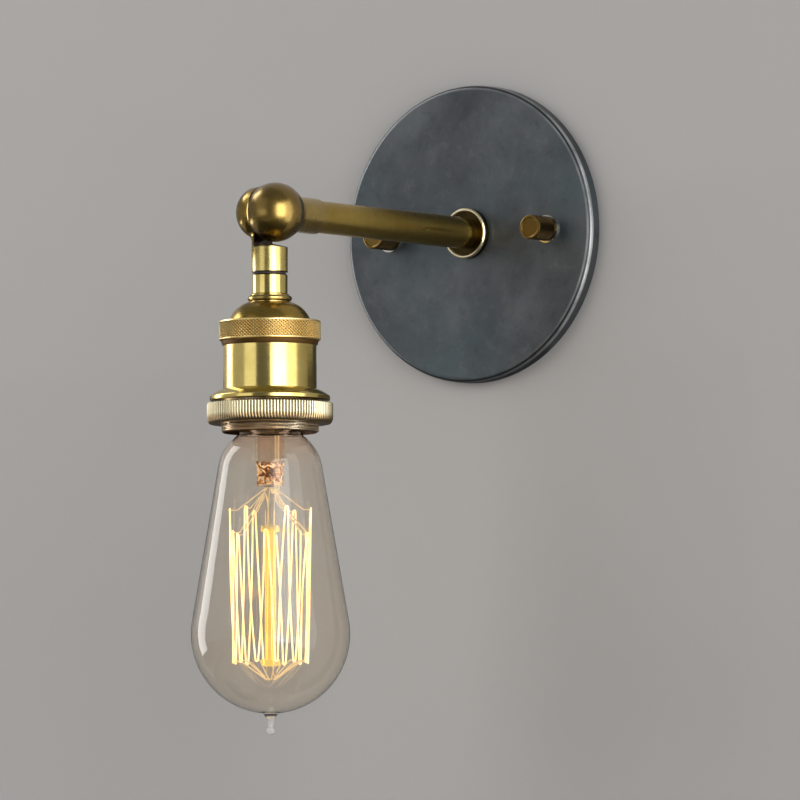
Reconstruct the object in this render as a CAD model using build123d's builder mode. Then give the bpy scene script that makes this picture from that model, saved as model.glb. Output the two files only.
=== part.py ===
from build123d import *
import os
from math import cos, degrees, radians, sin, sqrt, tan

# Sizes are in millimetres. The wall plane is Y = 0, the light faces -Y and +Z is up.
# The origin is the centre of the wall plate on the wall plane. "out" values run away from the wall.

# Clearances
thread_clearance = 0.05
turning_clearance = 0.08
hole_clearance = 0.4
wire_clearance = 0.1

# Wall plate and bracket
canopy_diameter = 122.0
canopy_depth = 6.5
canopy_sheet = 1.2
canopy_edge_radius = 2.0
bracket_overhang = 8.5
bracket_width = 18.0
bracket_sheet = 2.0
bracket_corner = 4.0
bracket_hub_diameter = 36.0
bracket_window_diameter = 22.0
slot_spacing = 56.0
slot_length = 12.0
slot_width = 5.2
stud_margin = 21.5
stud_diameter = 4.0
stud_nut_flats = 7.0
stud_nut_height = 2.2
earth_screw_diameter = 3.0
earth_head_diameter = 5.6
earth_head_height = 1.6
earth_washer_diameter = 6.4
earth_washer_thickness = 0.5
driver_slot_width = 0.8
driver_slot_depth = 0.8

# Thumb nuts
nut_washer_diameter = 11.4
nut_washer_thickness = 0.8
thumb_nut_diameter = 10.0
thumb_nut_length = 11.5
thumb_nut_end = 2.5
thumb_nut_stud_room = 0.8
thumb_nut_edge = 0.5

# Arm
arm_reach = 140.0
arm_diameter = 13.0
arm_flange_diameter = 20.6
arm_flange_thickness = 3.2
arm_flange_edge = 0.4
arm_flange_rim = 0.9
arm_flange_dish = 1.2
ferrule_diameter = 12.2
ferrule_length = 3.7
nipple_diameter = 10.0
nipple_bore_diameter = 7.2
nipple_engagement = 11.0
nipple_wall_gap = 0.9
lock_nut_flats = 14.0
lock_nut_height = 3.0
lock_washer_diameter = 15.0
lock_washer_thickness = 0.6
bush_flange_diameter = 9.6
bush_flange_thickness = 0.6
bush_length = 6.0
tube_edge = 0.4

# Wires
wire_diameter = 1.7
wire_pitch = 2.2
wire_bend = 2.0
wire_end_gap = 0.3

# Ball knuckle
ball_radius = 12.0
seam_offset = 5.6
seam_gap = 0.3
seam_chamfer = 0.5
dome_land = 1.6
dome_depth = 9.3
boss_diameter = 14.6
arm_boss_length = 26.0
boss_relief = 0.5
neck_offset = 2.8
neck_length = 24.3
neck_blend_radius = 3.0
saddle_gap = 3.0
post_radius = 4.2
knuckle_wall = 2.2
arm_cavity_depth = 9.6
head_cavity_depth = 5.6
boss_wire_bore_diameter = 8.0
boss_thread_depth = 12.0
neck_thread_depth = 7.8
neck_nipple_depth = 4.3
wire_slot_width = 2.2
wire_slot_inset = 2.0
pivot_diameter = 4.0
pivot_head_diameter = 7.0
pivot_head_height = 2.2
pivot_pocket_wall = 1.6
pivot_thread_length = 10.0
spring_washer_thickness = 0.6
spring_washer_diameter = 7.6

# Lamp holder, from the neck down
neck_washer_thickness = 0.7
neck_washer_diameter = 13.0
coupler_diameter = 14.4
coupler_length = 8.2
collar_diameter = 18.0
collar_bead_radius = 1.15
collar_height = 3.2
cap_top_diameter = 18.4
cap_throat_diameter = 32.8
cap_drop = 7.2
cap_bulge = 0.8
cap_rim_drop = 1.2
cap_rim_overlap = 0.7
cap_sheet = 1.2
cap_nut_height = 3.0
cap_bush_length = 4.0
ring_diameter = 41.0
ring_height = 7.8
ring_lip_diameter = 39.8
ring_lip_height = 2.2
ring_flange_thickness = 1.0
ring_edge = 0.4
body_diameter = 37.2
body_inner_diameter = 34.4
body_step = 0.65
body_length = 17.4
flare_diameter = 48.4
flare_height = 3.0
flare_bulge = 0.35
flare_edge = 1.8
flare_rounding = 0.5
barrel_diameter = 39.6
barrel_wall = 1.4
barrel_length = 12.9
barrel_web = 1.6
barrel_spigot_wall = 0.9
barrel_spigot_length = 11.8
press_gap = 0.02
shade_gap = 1.0
shade_ring_diameter = 50.8
shade_knurl_height = 5.6
shade_lip_diameter = 49.0
shade_lip_height = 2.8
shade_lip_bevel = 0.5
shade_edge = 0.5
shade_teeth = 120
shade_tooth_depth = 0.45
core_gap = 0.3
core_top_drop = 6.0
core_floor = 10.0
core_sleeve_wall = 1.9
core_sleeve_length = 22.5
shell_wall = 0.5
shell_length = 20.5
shell_top_gap = 3.0
contact_sheet = 0.6
contact_width = 5.0
contact_slot_gap = 0.3
terminal_offset = 8.6
terminal_screw_diameter = 3.0
terminal_head_diameter = 5.4
terminal_head_height = 2.2
terminal_depth = 5.0

# Bulb, with drops measured from its contact
bulb_base_diameter = 26.1
bulb_base_wall = 0.4
bulb_base_length = 18.5
contact_drop = 3.0
contact_gap = 0.1
bulb_contact_diameter = 9.2
bulb_contact_height = 1.0
bulb_insulator_height = 3.5
bulb_insulator_diameter = 22.0
glass_wall = 0.8
glass_neck_diameter = 24.0
glass_neck_length = 8.0
glass_mouth_diameter = 27.0
glass_ball_radius = 32.0
glass_ball_drop = 105.0
glass_cone_angle = 9.7
glass_shoulder_drop = 37.5
glass_mouth_drop = 25.2
tip_root_radius = 3.6
tip_neck_radius = 1.0
tip_ball_radius = 1.7
tip_length = 8.4
stem_tube_radius = 6.0
stem_tube_drop = 36.5
pinch_width = 11.6
pinch_thickness = 4.0
pinch_length = 9.0
rod_radius = 2.3
upper_button_drop = 62.6
lower_button_drop = 116.5
button_radius = 3.9
button_height = 2.4
rod_tail = 7.5
cage_radius_top = 16.4
cage_radius_bottom = 15.2
cage_top_drop = 64.5
cage_rise = 9.5
cage_bottom_drop = 116.0
cage_hooks = 12
hook_radius = 0.6
filament_radius = 0.3
support_wire_radius = 0.25
support_seat = 0.6
hook_gap = 0.05
hook_straight = 3.0
hook_overhang = 0.5
support_bend = 1.5
lead_wire_radius = 0.35
lead_spread = 3.4
lead_seat = 20.0
lead_bend = 3.0
lead_drop = 6.0
lead_angle = 6.0

# Values that follow from the sizes above
stud_radius = stud_diameter / 2
stud_spacing = canopy_diameter - 2 * stud_margin
bracket_length = stud_spacing + 2 * bracket_overhang
nipple_radius = nipple_diameter / 2
nipple_bore = nipple_bore_diameter / 2
wire_radius = wire_diameter / 2
boss_radius = boss_diameter / 2
dome_radius = sqrt(ball_radius**2 - seam_offset**2)
cavity_radius = dome_radius - knuckle_wall
arm_tube_out = canopy_depth + arm_flange_thickness + ferrule_length
arm_tube_length = arm_reach - arm_boss_length - arm_tube_out
seam_arm = -seam_offset
seam_head = -seam_offset - seam_gap
dome_centre = seam_head - dome_land
saddle_radius = ball_radius + saddle_gap
nut_out = canopy_depth + nut_washer_thickness
stud_reach = nut_out + thumb_nut_length - thumb_nut_end - thumb_nut_stud_room

coupler_top = -neck_length - neck_washer_thickness
collar_top = coupler_top - coupler_length
cap_top = collar_top - collar_height
cap_rim_top = cap_top - cap_drop - cap_rim_drop
cap_rim_bottom = cap_rim_top - cap_sheet
cap_throat = cap_throat_diameter / 2
cap_rim = cap_throat + ring_flange_thickness + cap_rim_overlap
ring_top = cap_rim_top + ring_flange_thickness
ring_band_bottom = ring_top - ring_height
ring_bottom = ring_band_bottom - ring_lip_height
ring_bore = cap_rim + 2 * thread_clearance
body_top_radius = ring_bore - thread_clearance
body_radius = max(body_diameter / 2, body_top_radius + body_step)
body_bore = body_inner_diameter / 2
flare_top = ring_bottom - body_length
flare_bottom = flare_top - flare_height - flare_edge
spigot_radius = body_bore - press_gap
spigot_bore = spigot_radius - barrel_spigot_wall
barrel_radius = barrel_diameter / 2
barrel_bottom = flare_bottom - barrel_length
shade_top = flare_bottom - shade_gap
shade_knurl_bottom = shade_top - shade_knurl_height
shade_bottom = shade_knurl_bottom - shade_lip_height
core_seat = flare_bottom + barrel_spigot_length
core_top = cap_rim_bottom - core_top_drop
core_floor_bottom = core_top - core_floor
core_radius = body_bore - core_gap
sleeve_radius = spigot_bore - core_gap
shell_radius = sleeve_radius - core_sleeve_wall - thread_clearance
shell_bore = shell_radius - shell_wall
shell_top = core_floor_bottom - shell_top_gap
contact_level = core_floor_bottom - contact_drop
glass_centre = contact_level - glass_ball_drop
glass_mouth = contact_level - glass_mouth_drop

head_axis = Axis((-neck_offset, -arm_reach, 0), (0, 0, 1))
pivot_axis = Axis((0, -arm_reach, 0), (1, 0, 0))
head_profile = Plane(origin=(-neck_offset, -arm_reach, 0), x_dir=(1, 0, 0), z_dir=(0, -1, 0))
pivot_profile = Plane(origin=(0, -arm_reach, 0))
strip_profile = Plane(origin=(-neck_offset, -arm_reach, 0), x_dir=(0, 1, 0), z_dir=(1, 0, 0))


def out_plane(out):
    """Sketch plane facing the room, at a distance from the wall."""
    return Plane.XZ.offset(out)


def head_level(height):
    """Level sketch plane on the axis of the lamp head."""
    return Plane(origin=(-neck_offset, -arm_reach, height))


def pivot_plane(x):
    """Sketch plane across the pivot axis, facing -X."""
    return Plane(origin=(x, -arm_reach, 0), x_dir=(0, 1, 0), z_dir=(-1, 0, 0))


def tube(plane, outer, inner, length):
    """Plain ring or tube standing on a plane."""
    with BuildPart() as made:
        with BuildSketch(plane):
            Circle(outer)
            Circle(inner, mode=Mode.SUBTRACT)
        extrude(amount=length)
    return made


def hex_nut(plane, flats, bore, height, places):
    """Hexagon nuts on a plane, one at each place."""
    with BuildPart() as made:
        with BuildSketch(plane):
            with Locations(*places):
                RegularPolygon(flats / 2, 6, major_radius=False)
                Circle(bore, mode=Mode.SUBTRACT)
        extrude(amount=height)
    return made


def slotted_screw(plane, shank, shank_length, head, head_height, places):
    """Slotted screws with the head standing on a plane and the shank behind it."""
    with BuildPart() as made:
        with BuildSketch(plane):
            with Locations(*places):
                Circle(head)
        extrude(amount=head_height)
        with BuildSketch(plane):
            with Locations(*places):
                Circle(shank)
        extrude(amount=-shank_length)
        with BuildSketch(plane.offset(head_height)):
            with Locations(*places):
                Rectangle(2 * head + driver_slot_width, driver_slot_width)
        extrude(amount=-driver_slot_depth, mode=Mode.SUBTRACT)
    return made


def wire_run(points, bend):
    """Round wire along a route of straight runs joined by arcs."""
    with BuildPart() as made:
        with BuildLine() as route:
            FilletPolyline(*points, radius=bend)
        with BuildSketch(Plane(origin=route.line @ 0, z_dir=route.line % 0)):
            Circle(wire_radius)
        sweep()
    return made


# Mounting bracket: strap with two wall slots, a wire window and two tapped stud holes
stud_places = [(-stud_spacing / 2, 0), (stud_spacing / 2, 0)]
earth_place = [(0, (bracket_hub_diameter + bracket_window_diameter) / 4)]
with BuildPart() as mounting_bracket:
    with BuildSketch(out_plane(0)):
        RectangleRounded(bracket_length, bracket_width, bracket_corner)
        Circle(bracket_hub_diameter / 2)
        Circle(bracket_window_diameter / 2, mode=Mode.SUBTRACT)
        with Locations((-slot_spacing / 2, 0), (slot_spacing / 2, 0)):
            SlotOverall(slot_length, slot_width, mode=Mode.SUBTRACT)
        with Locations(*stud_places):
            Circle(stud_radius + thread_clearance, mode=Mode.SUBTRACT)
        with Locations(*earth_place):
            Circle(earth_screw_diameter / 2 + thread_clearance, mode=Mode.SUBTRACT)
    extrude(amount=bracket_sheet)

# Studs with their lock nuts
with BuildPart() as canopy_studs:
    with BuildSketch(out_plane(0)):
        with Locations(*stud_places):
            Circle(stud_radius)
    extrude(amount=stud_reach)
    chamfer(canopy_studs.faces().sort_by(Axis.Y)[0:2].edges(), stud_diameter / 10)

stud_lock_nuts = hex_nut(
    out_plane(bracket_sheet), stud_nut_flats, stud_radius + thread_clearance, stud_nut_height, stud_places
)

# Earth screw and its washer on the bracket hub
earth_screw = slotted_screw(
    out_plane(bracket_sheet + earth_washer_thickness),
    earth_screw_diameter / 2,
    bracket_sheet + earth_washer_thickness,
    earth_head_diameter / 2,
    earth_head_height,
    earth_place,
)
with BuildPart() as earth_washer:
    with BuildSketch(out_plane(bracket_sheet)):
        with Locations(*earth_place):
            Circle(earth_washer_diameter / 2)
            Circle(earth_screw_diameter / 2 + thread_clearance, mode=Mode.SUBTRACT)
    extrude(amount=earth_washer_thickness)

# Canopy: pressed pan with holes for the arm and the studs
with BuildPart() as canopy:
    with BuildSketch(out_plane(0)):
        Circle(canopy_diameter / 2)
    extrude(amount=canopy_depth)
    fillet(canopy.edges().sort_by(Axis.Y)[0], canopy_edge_radius)
    offset(amount=-canopy_sheet, openings=canopy.faces().sort_by(Axis.Y)[-1])
    with BuildSketch(out_plane(0)):
        Circle(nipple_radius + hole_clearance)
        with Locations(*stud_places):
            Circle(stud_radius + hole_clearance)
    extrude(amount=canopy_depth, mode=Mode.SUBTRACT)

# Washers and thumb nuts that hold the canopy
with BuildPart() as nut_washers:
    with BuildSketch(out_plane(canopy_depth)):
        with Locations(*stud_places):
            Circle(nut_washer_diameter / 2)
            Circle(stud_radius + hole_clearance, mode=Mode.SUBTRACT)
    extrude(amount=nut_washer_thickness)


def thumb_nut(x):
    """Blind thumb nut on the stud at x."""
    with BuildPart() as made:
        with BuildSketch(Plane(origin=(x, -nut_out, 0), x_dir=(1, 0, 0), z_dir=(0, -1, 0))):
            Circle(thumb_nut_diameter / 2)
        extrude(amount=thumb_nut_length)
        chamfer(made.faces().filter_by(Axis.Y).edges(), thumb_nut_edge)
        with BuildSketch(Plane(origin=(x, -nut_out, 0), x_dir=(1, 0, 0), z_dir=(0, -1, 0))):
            Circle(stud_radius + turning_clearance)
        extrude(amount=thumb_nut_length - thumb_nut_end, mode=Mode.SUBTRACT)
    return made


thumb_nut_left = thumb_nut(-stud_spacing / 2)
thumb_nut_right = thumb_nut(stud_spacing / 2)

# Arm root: dished flange, ferrule, threaded nipple, lock washer and nut inside the canopy
dish_out = canopy_depth + arm_flange_thickness - arm_flange_dish
with BuildPart() as arm_flange:
    with BuildSketch(out_plane(canopy_depth)):
        Circle(arm_flange_diameter / 2)
        Circle(nipple_radius + thread_clearance, mode=Mode.SUBTRACT)
    extrude(amount=arm_flange_thickness)
    flange_rims = arm_flange.edges().filter_by(GeomType.CIRCLE).group_by(Axis.Y)[0]
    chamfer(flange_rims.sort_by(SortBy.RADIUS)[-1], arm_flange_edge)
    with BuildSketch(out_plane(dish_out)):
        Circle(arm_flange_diameter / 2 - arm_flange_rim)
    extrude(amount=arm_flange_dish, mode=Mode.SUBTRACT)

arm_ferrule = tube(
    out_plane(dish_out),
    ferrule_diameter / 2,
    nipple_radius + thread_clearance,
    ferrule_length + arm_flange_dish,
)
arm_rear_nipple = tube(
    out_plane(nipple_wall_gap),
    nipple_radius,
    nipple_bore,
    arm_tube_out + nipple_engagement - nipple_wall_gap,
)
lock_out = canopy_depth - canopy_sheet - lock_washer_thickness
arm_lock_washer = tube(
    out_plane(lock_out), lock_washer_diameter / 2, nipple_radius + thread_clearance, lock_washer_thickness
)
arm_lock_nut = hex_nut(
    out_plane(lock_out - lock_nut_height),
    lock_nut_flats,
    nipple_radius + thread_clearance,
    lock_nut_height,
    [(0, 0)],
)

# Wire bush in the rear end of the nipple
wire_places = [(0, wire_pitch / 2), (0, -wire_pitch / 2)]
with BuildPart() as wire_bush:
    with BuildSketch(out_plane(nipple_wall_gap - bush_flange_thickness)):
        Circle(bush_flange_diameter / 2)
    extrude(amount=bush_flange_thickness)
    with BuildSketch(out_plane(nipple_wall_gap)):
        Circle(nipple_bore - thread_clearance)
    extrude(amount=bush_length)
    with BuildSketch(out_plane(nipple_wall_gap - bush_flange_thickness)):
        with Locations(*wire_places):
            Circle(wire_radius + wire_clearance)
    extrude(amount=bush_flange_thickness + bush_length, mode=Mode.SUBTRACT)

# Arm tube and the nipple that joins it to the knuckle
with BuildPart() as arm_tube:
    with BuildSketch(out_plane(arm_tube_out)):
        Circle(arm_diameter / 2)
        Circle(nipple_radius + thread_clearance, mode=Mode.SUBTRACT)
    extrude(amount=arm_tube_length)
    chamfer(arm_tube.edges().filter_by(GeomType.CIRCLE).sort_by(SortBy.RADIUS)[-2:], tube_edge)

arm_front_nipple = tube(
    out_plane(arm_reach - arm_boss_length - nipple_engagement),
    nipple_radius,
    nipple_bore,
    2 * nipple_engagement,
)

# Wires in the arm, from the bush to the hollow of the ball
arm_wire_start = nipple_wall_gap - bush_flange_thickness
arm_wire_length = arm_reach - cavity_radius + wire_diameter - arm_wire_start


def arm_wire(place):
    """Straight wire through the arm at a place in its cross-section."""
    with BuildPart() as made:
        with BuildSketch(out_plane(arm_wire_start)):
            with Locations(place):
                Circle(wire_radius)
        extrude(amount=arm_wire_length)
    return made


live_wire_arm = arm_wire(wire_places[0])
neutral_wire_arm = arm_wire(wire_places[1])

# Arm half of the ball: cut ball with a boss, a post for the pivot and a ring-shaped hollow
with BuildPart() as knuckle_arm_half:
    with BuildSketch(pivot_profile):
        Circle(ball_radius)
        with Locations((0, -ball_radius)):
            Rectangle(4 * ball_radius, 2 * ball_radius, mode=Mode.SUBTRACT)
    revolve(axis=pivot_axis)
    with BuildSketch(out_plane(arm_reach - arm_boss_length)):
        Circle(boss_radius)
    extrude(amount=arm_boss_length)
    with BuildSketch(pivot_plane(seam_arm)):
        Circle(ball_radius + boss_relief)
    extrude(amount=2 * ball_radius, mode=Mode.SUBTRACT)
    with BuildSketch(out_plane(arm_reach - arm_boss_length)):
        Circle(nipple_radius + thread_clearance)
    extrude(amount=boss_thread_depth, mode=Mode.SUBTRACT)
    with BuildSketch(out_plane(arm_reach - arm_boss_length)):
        Circle(boss_wire_bore_diameter / 2)
    extrude(amount=arm_boss_length - (post_radius + cavity_radius) / 2, mode=Mode.SUBTRACT)
    with BuildSketch(pivot_plane(seam_arm)):
        Circle(cavity_radius)
        Circle(post_radius, mode=Mode.SUBTRACT)
    extrude(amount=-arm_cavity_depth, mode=Mode.SUBTRACT)
    with BuildSketch(pivot_plane(seam_arm)):
        Circle(post_radius)
    extrude(amount=-arm_cavity_depth)
    with BuildSketch(pivot_plane(seam_arm)):
        Circle(pivot_diameter / 2 + thread_clearance)
    extrude(amount=-pivot_thread_length - wire_end_gap, mode=Mode.SUBTRACT)

# Head half of the ball: dome with a neck whose top is cut to a saddle around the ball
pocket_floor = seam_head - head_cavity_depth - pivot_pocket_wall
slot_x = -neck_offset - boss_radius + wire_slot_inset + wire_slot_width / 10
with BuildPart() as knuckle_head_half:
    with BuildSketch(head_level(-neck_length)):
        Circle(boss_radius)
    extrude(amount=neck_length)
    with BuildSketch(pivot_profile):
        Circle(saddle_radius)
        with Locations((0, -saddle_radius)):
            Rectangle(4 * saddle_radius, 2 * saddle_radius, mode=Mode.SUBTRACT)
        with Locations((seam_head - saddle_radius, saddle_radius)):
            Rectangle(2 * saddle_radius, 2 * saddle_radius, mode=Mode.SUBTRACT)
    revolve(axis=pivot_axis, mode=Mode.SUBTRACT)
    with BuildSketch(pivot_profile):
        with BuildLine():
            Line((seam_head, 0), (seam_head, dome_radius))
            Line((seam_head, dome_radius), (dome_centre, dome_radius))
            EllipticalCenterArc((dome_centre, 0), dome_depth, dome_radius, 90, arc_size=90)
            Line((dome_centre - dome_depth, 0), (seam_head, 0))
        make_face()
    revolve(axis=pivot_axis)
    neck_joints = knuckle_head_half.edges().filter_by(GeomType.BSPLINE)
    neck_joints = neck_joints.filter_by(lambda edge: edge.bounding_box().max.X < seam_head + thread_clearance)
    neck_joints = neck_joints.filter_by(lambda edge: edge.bounding_box().max.Z < -thread_clearance)
    fillet(neck_joints, neck_blend_radius)
    dome_rims = knuckle_head_half.edges().filter_by(GeomType.CIRCLE)
    dome_rims = dome_rims.filter_by(lambda edge: edge.bounding_box().min.X > seam_head - thread_clearance)
    chamfer(dome_rims.filter_by(lambda edge: abs(edge.radius - dome_radius) < thread_clearance), seam_chamfer)
    with BuildSketch(pivot_plane(seam_head)):
        Circle(cavity_radius)
        Circle(post_radius, mode=Mode.SUBTRACT)
    extrude(amount=head_cavity_depth, mode=Mode.SUBTRACT)
    with BuildSketch(pivot_plane(seam_head)):
        Circle(pivot_diameter / 2 + turning_clearance)
    extrude(amount=2 * ball_radius, mode=Mode.SUBTRACT)
    with BuildSketch(pivot_plane(pocket_floor)):
        Circle(spring_washer_diameter / 2 + hole_clearance)
    extrude(amount=ball_radius, mode=Mode.SUBTRACT)
    with BuildSketch(head_level(-neck_length)):
        Circle(nipple_radius + thread_clearance)
    extrude(amount=neck_thread_depth, mode=Mode.SUBTRACT)
    with BuildSketch(Plane(origin=(slot_x, -arm_reach, -neck_length + neck_nipple_depth))):
        SlotOverall(wire_pitch + wire_slot_width, wire_slot_width, rotation=90)
    extrude(amount=neck_length - neck_nipple_depth - post_radius - wire_radius, mode=Mode.SUBTRACT)

# Pivot: friction washer between the posts, screw and spring washer in the dome
friction_washer = tube(pivot_plane(seam_arm), post_radius, pivot_diameter / 2 + thread_clearance, seam_gap)
spring_washer = tube(
    pivot_plane(pocket_floor),
    spring_washer_diameter / 2,
    pivot_diameter / 2 + thread_clearance,
    spring_washer_thickness,
)
with BuildPart() as pivot_screw:
    with BuildSketch(pivot_plane(pocket_floor - spring_washer_thickness)):
        Circle(pivot_head_diameter / 2)
    extrude(amount=pivot_head_height)
    with BuildSketch(pivot_plane(pocket_floor - spring_washer_thickness)):
        Circle(pivot_diameter / 2)
    extrude(amount=-(seam_arm + pivot_thread_length - pocket_floor + spring_washer_thickness))
    with BuildSketch(pivot_plane(pocket_floor - spring_washer_thickness - pivot_head_height)):
        RegularPolygon(pivot_diameter / 3, 6)
    extrude(amount=-pivot_head_height / 2, mode=Mode.SUBTRACT)

# Neck stack: fibre washer, coupler, collar and the nipple through them
neck_washer = tube(
    head_level(coupler_top), neck_washer_diameter / 2, nipple_radius + thread_clearance, neck_washer_thickness
)
with BuildPart() as neck_coupler:
    with BuildSketch(head_level(collar_top)):
        Circle(coupler_diameter / 2)
        Circle(nipple_radius + thread_clearance, mode=Mode.SUBTRACT)
    extrude(amount=coupler_length)
    chamfer(neck_coupler.edges().filter_by(GeomType.CIRCLE).sort_by(SortBy.RADIUS)[-2:], tube_edge)

with BuildPart() as collar_ring:
    with BuildSketch(head_profile):
        with BuildLine():
            bore = nipple_radius + thread_clearance
            waist = collar_diameter / 2 - collar_bead_radius
            bead_middle = (collar_top + cap_top) / 2
            bead_top = bead_middle + collar_bead_radius
            bead_bottom = bead_middle - collar_bead_radius
            Polyline((bore, cap_top), (bore, collar_top), (waist, collar_top), (waist, bead_top))
            ThreePointArc((waist, bead_top), (collar_diameter / 2, bead_middle), (waist, bead_bottom))
            Polyline((waist, bead_bottom), (waist, cap_top), (bore, cap_top))
        make_face()
    revolve(axis=head_axis)

cap_nut_top = cap_top - cap_sheet
neck_nipple_top = -neck_length + neck_nipple_depth
neck_nipple_bottom = cap_nut_top - cap_nut_height - nipple_wall_gap
neck_nipple = tube(
    head_level(neck_nipple_bottom), nipple_radius, nipple_bore, neck_nipple_top - neck_nipple_bottom
)

# Holder cap: domed shell with a rim that the knurled ring clamps
with BuildPart() as holder_cap:
    with BuildSketch(head_profile):
        with BuildLine():
            bore = nipple_radius + thread_clearance
            throat_end = cap_top - cap_drop
            middle_reach = (cap_top_diameter / 2 + cap_throat) / 2 + cap_bulge
            middle_level = (cap_top + throat_end) / 2 + cap_bulge
            middle = (middle_reach, middle_level)
            inner_top = (cap_top_diameter / 2 - cap_sheet / 2, cap_top - cap_sheet)
            inner_end = (cap_throat - cap_sheet, throat_end - cap_sheet)
            wall_shift = cap_sheet * sin(radians(45))
            inner_middle = (middle_reach - wall_shift, middle_level - wall_shift)
            Line((bore, cap_top), (cap_top_diameter / 2, cap_top))
            ThreePointArc((cap_top_diameter / 2, cap_top), middle, (cap_throat, throat_end))
            Polyline(
                (cap_throat, throat_end),
                (cap_throat, cap_rim_top),
                (cap_rim, cap_rim_top),
                (cap_rim, cap_rim_bottom),
                (cap_throat - cap_sheet, cap_rim_bottom),
                inner_end,
            )
            ThreePointArc(inner_end, inner_middle, inner_top)
            Polyline(inner_top, (bore, cap_top - cap_sheet), (bore, cap_top))
        make_face()
    revolve(axis=head_axis)

cap_nut_flats = 2 * (cap_top_diameter / 2 - 2 * cap_sheet) * cos(radians(30)) + cap_sheet
nipple_nut = hex_nut(
    head_level(cap_nut_top - cap_nut_height),
    cap_nut_flats,
    nipple_radius + thread_clearance,
    cap_nut_height,
    [(0, 0)],
)

# Insulating bush in the lower end of the neck nipple
with BuildPart() as cap_bush:
    with BuildSketch(head_level(neck_nipple_bottom)):
        Circle(bush_flange_diameter / 2)
    extrude(amount=-bush_flange_thickness)
    with BuildSketch(head_level(neck_nipple_bottom)):
        Circle(nipple_bore - thread_clearance)
    extrude(amount=cap_bush_length)
    with BuildSketch(head_level(neck_nipple_bottom - bush_flange_thickness)):
        with Locations((0, wire_pitch / 2), (0, -wire_pitch / 2)):
            Circle(wire_radius + wire_clearance)
    extrude(amount=cap_bush_length + bush_flange_thickness, mode=Mode.SUBTRACT)

# Knurled cap ring, left plain here
with BuildPart() as cap_ring:
    with BuildSketch(head_profile):
        with BuildLine():
            Polyline(
                (cap_throat + 2 * thread_clearance, ring_top),
                (ring_diameter / 2, ring_top),
                (ring_diameter / 2, ring_band_bottom),
                (ring_lip_diameter / 2, ring_band_bottom),
                (ring_lip_diameter / 2, ring_bottom),
                (ring_bore, ring_bottom),
                (ring_bore, cap_rim_top),
                (cap_throat + 2 * thread_clearance, cap_rim_top),
                close=True,
            )
        make_face()
    revolve(axis=head_axis)
    round_edges = cap_ring.edges().filter_by(GeomType.CIRCLE)
    lip_middle = (ring_diameter + ring_lip_diameter) / 4
    fillet(round_edges.filter_by(lambda edge: edge.radius > lip_middle), ring_edge)

# Holder body: cup with a flared foot
with BuildPart() as holder_body:
    with BuildSketch(head_profile):
        with BuildLine():
            foot = flare_diameter / 2
            Polyline(
                (body_bore, flare_bottom),
                (body_bore, cap_rim_bottom),
                (body_top_radius, cap_rim_bottom),
                (body_top_radius, ring_bottom),
                (body_radius, ring_bottom),
                (body_radius, flare_top),
            )
            brow = flare_bottom + flare_edge
            crest = ((body_radius + foot) / 2, (flare_top + brow) / 2 + flare_bulge)
            ThreePointArc((body_radius, flare_top), crest, (foot, brow))
            Polyline((foot, brow), (foot, flare_bottom), (body_bore, flare_bottom))
        make_face()
    revolve(axis=head_axis)
    round_edges = holder_body.edges().filter_by(GeomType.CIRCLE)
    fillet(round_edges.filter_by(lambda edge: edge.radius > (body_radius + foot) / 2), flare_rounding)

# Threaded barrel, left plain here, with a spigot pressed into the body
with BuildPart() as threaded_barrel:
    with BuildSketch(head_profile):
        with BuildLine():
            Polyline(
                (spigot_bore, core_seat),
                (spigot_radius, core_seat),
                (spigot_radius, flare_bottom),
                (barrel_radius, flare_bottom),
                (barrel_radius, barrel_bottom),
                (barrel_radius - barrel_wall, barrel_bottom),
                (barrel_radius - barrel_wall, flare_bottom - barrel_web),
                (spigot_bore, flare_bottom - barrel_web),
                close=True,
            )
        make_face()
    revolve(axis=head_axis)
    barrel_rims = threaded_barrel.edges().filter_by(GeomType.CIRCLE).group_by(Axis.Z)[0]
    chamfer(barrel_rims.sort_by(SortBy.RADIUS)[-1], tube_edge)

# Shade ring: straight-knurled ring that screws on the barrel
with BuildPart() as shade_ring:
    with BuildSketch(head_profile):
        with BuildLine():
            bore = barrel_radius + turning_clearance
            lip = shade_lip_diameter / 2
            Polyline(
                (bore, shade_top),
                (shade_ring_diameter / 2, shade_top),
                (shade_ring_diameter / 2, shade_knurl_bottom),
                (lip, shade_knurl_bottom),
                (lip, shade_bottom + shade_lip_bevel),
                (lip - shade_lip_bevel, shade_bottom),
                (bore, shade_bottom),
                close=True,
            )
        make_face()
    revolve(axis=head_axis)
    round_edges = shade_ring.edges().filter_by(GeomType.CIRCLE)
    fillet(round_edges.filter_by(lambda edge: edge.radius > (shade_ring_diameter / 2 + lip) / 2), shade_edge)
    with BuildSketch(head_level(shade_knurl_bottom)):
        with PolarLocations(shade_ring_diameter / 2 + shade_tooth_depth / 2, shade_teeth):
            Rectangle(2 * shade_tooth_depth, 2 * shade_tooth_depth, rotation=45)
    extrude(amount=shade_knurl_height, mode=Mode.SUBTRACT)

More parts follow.
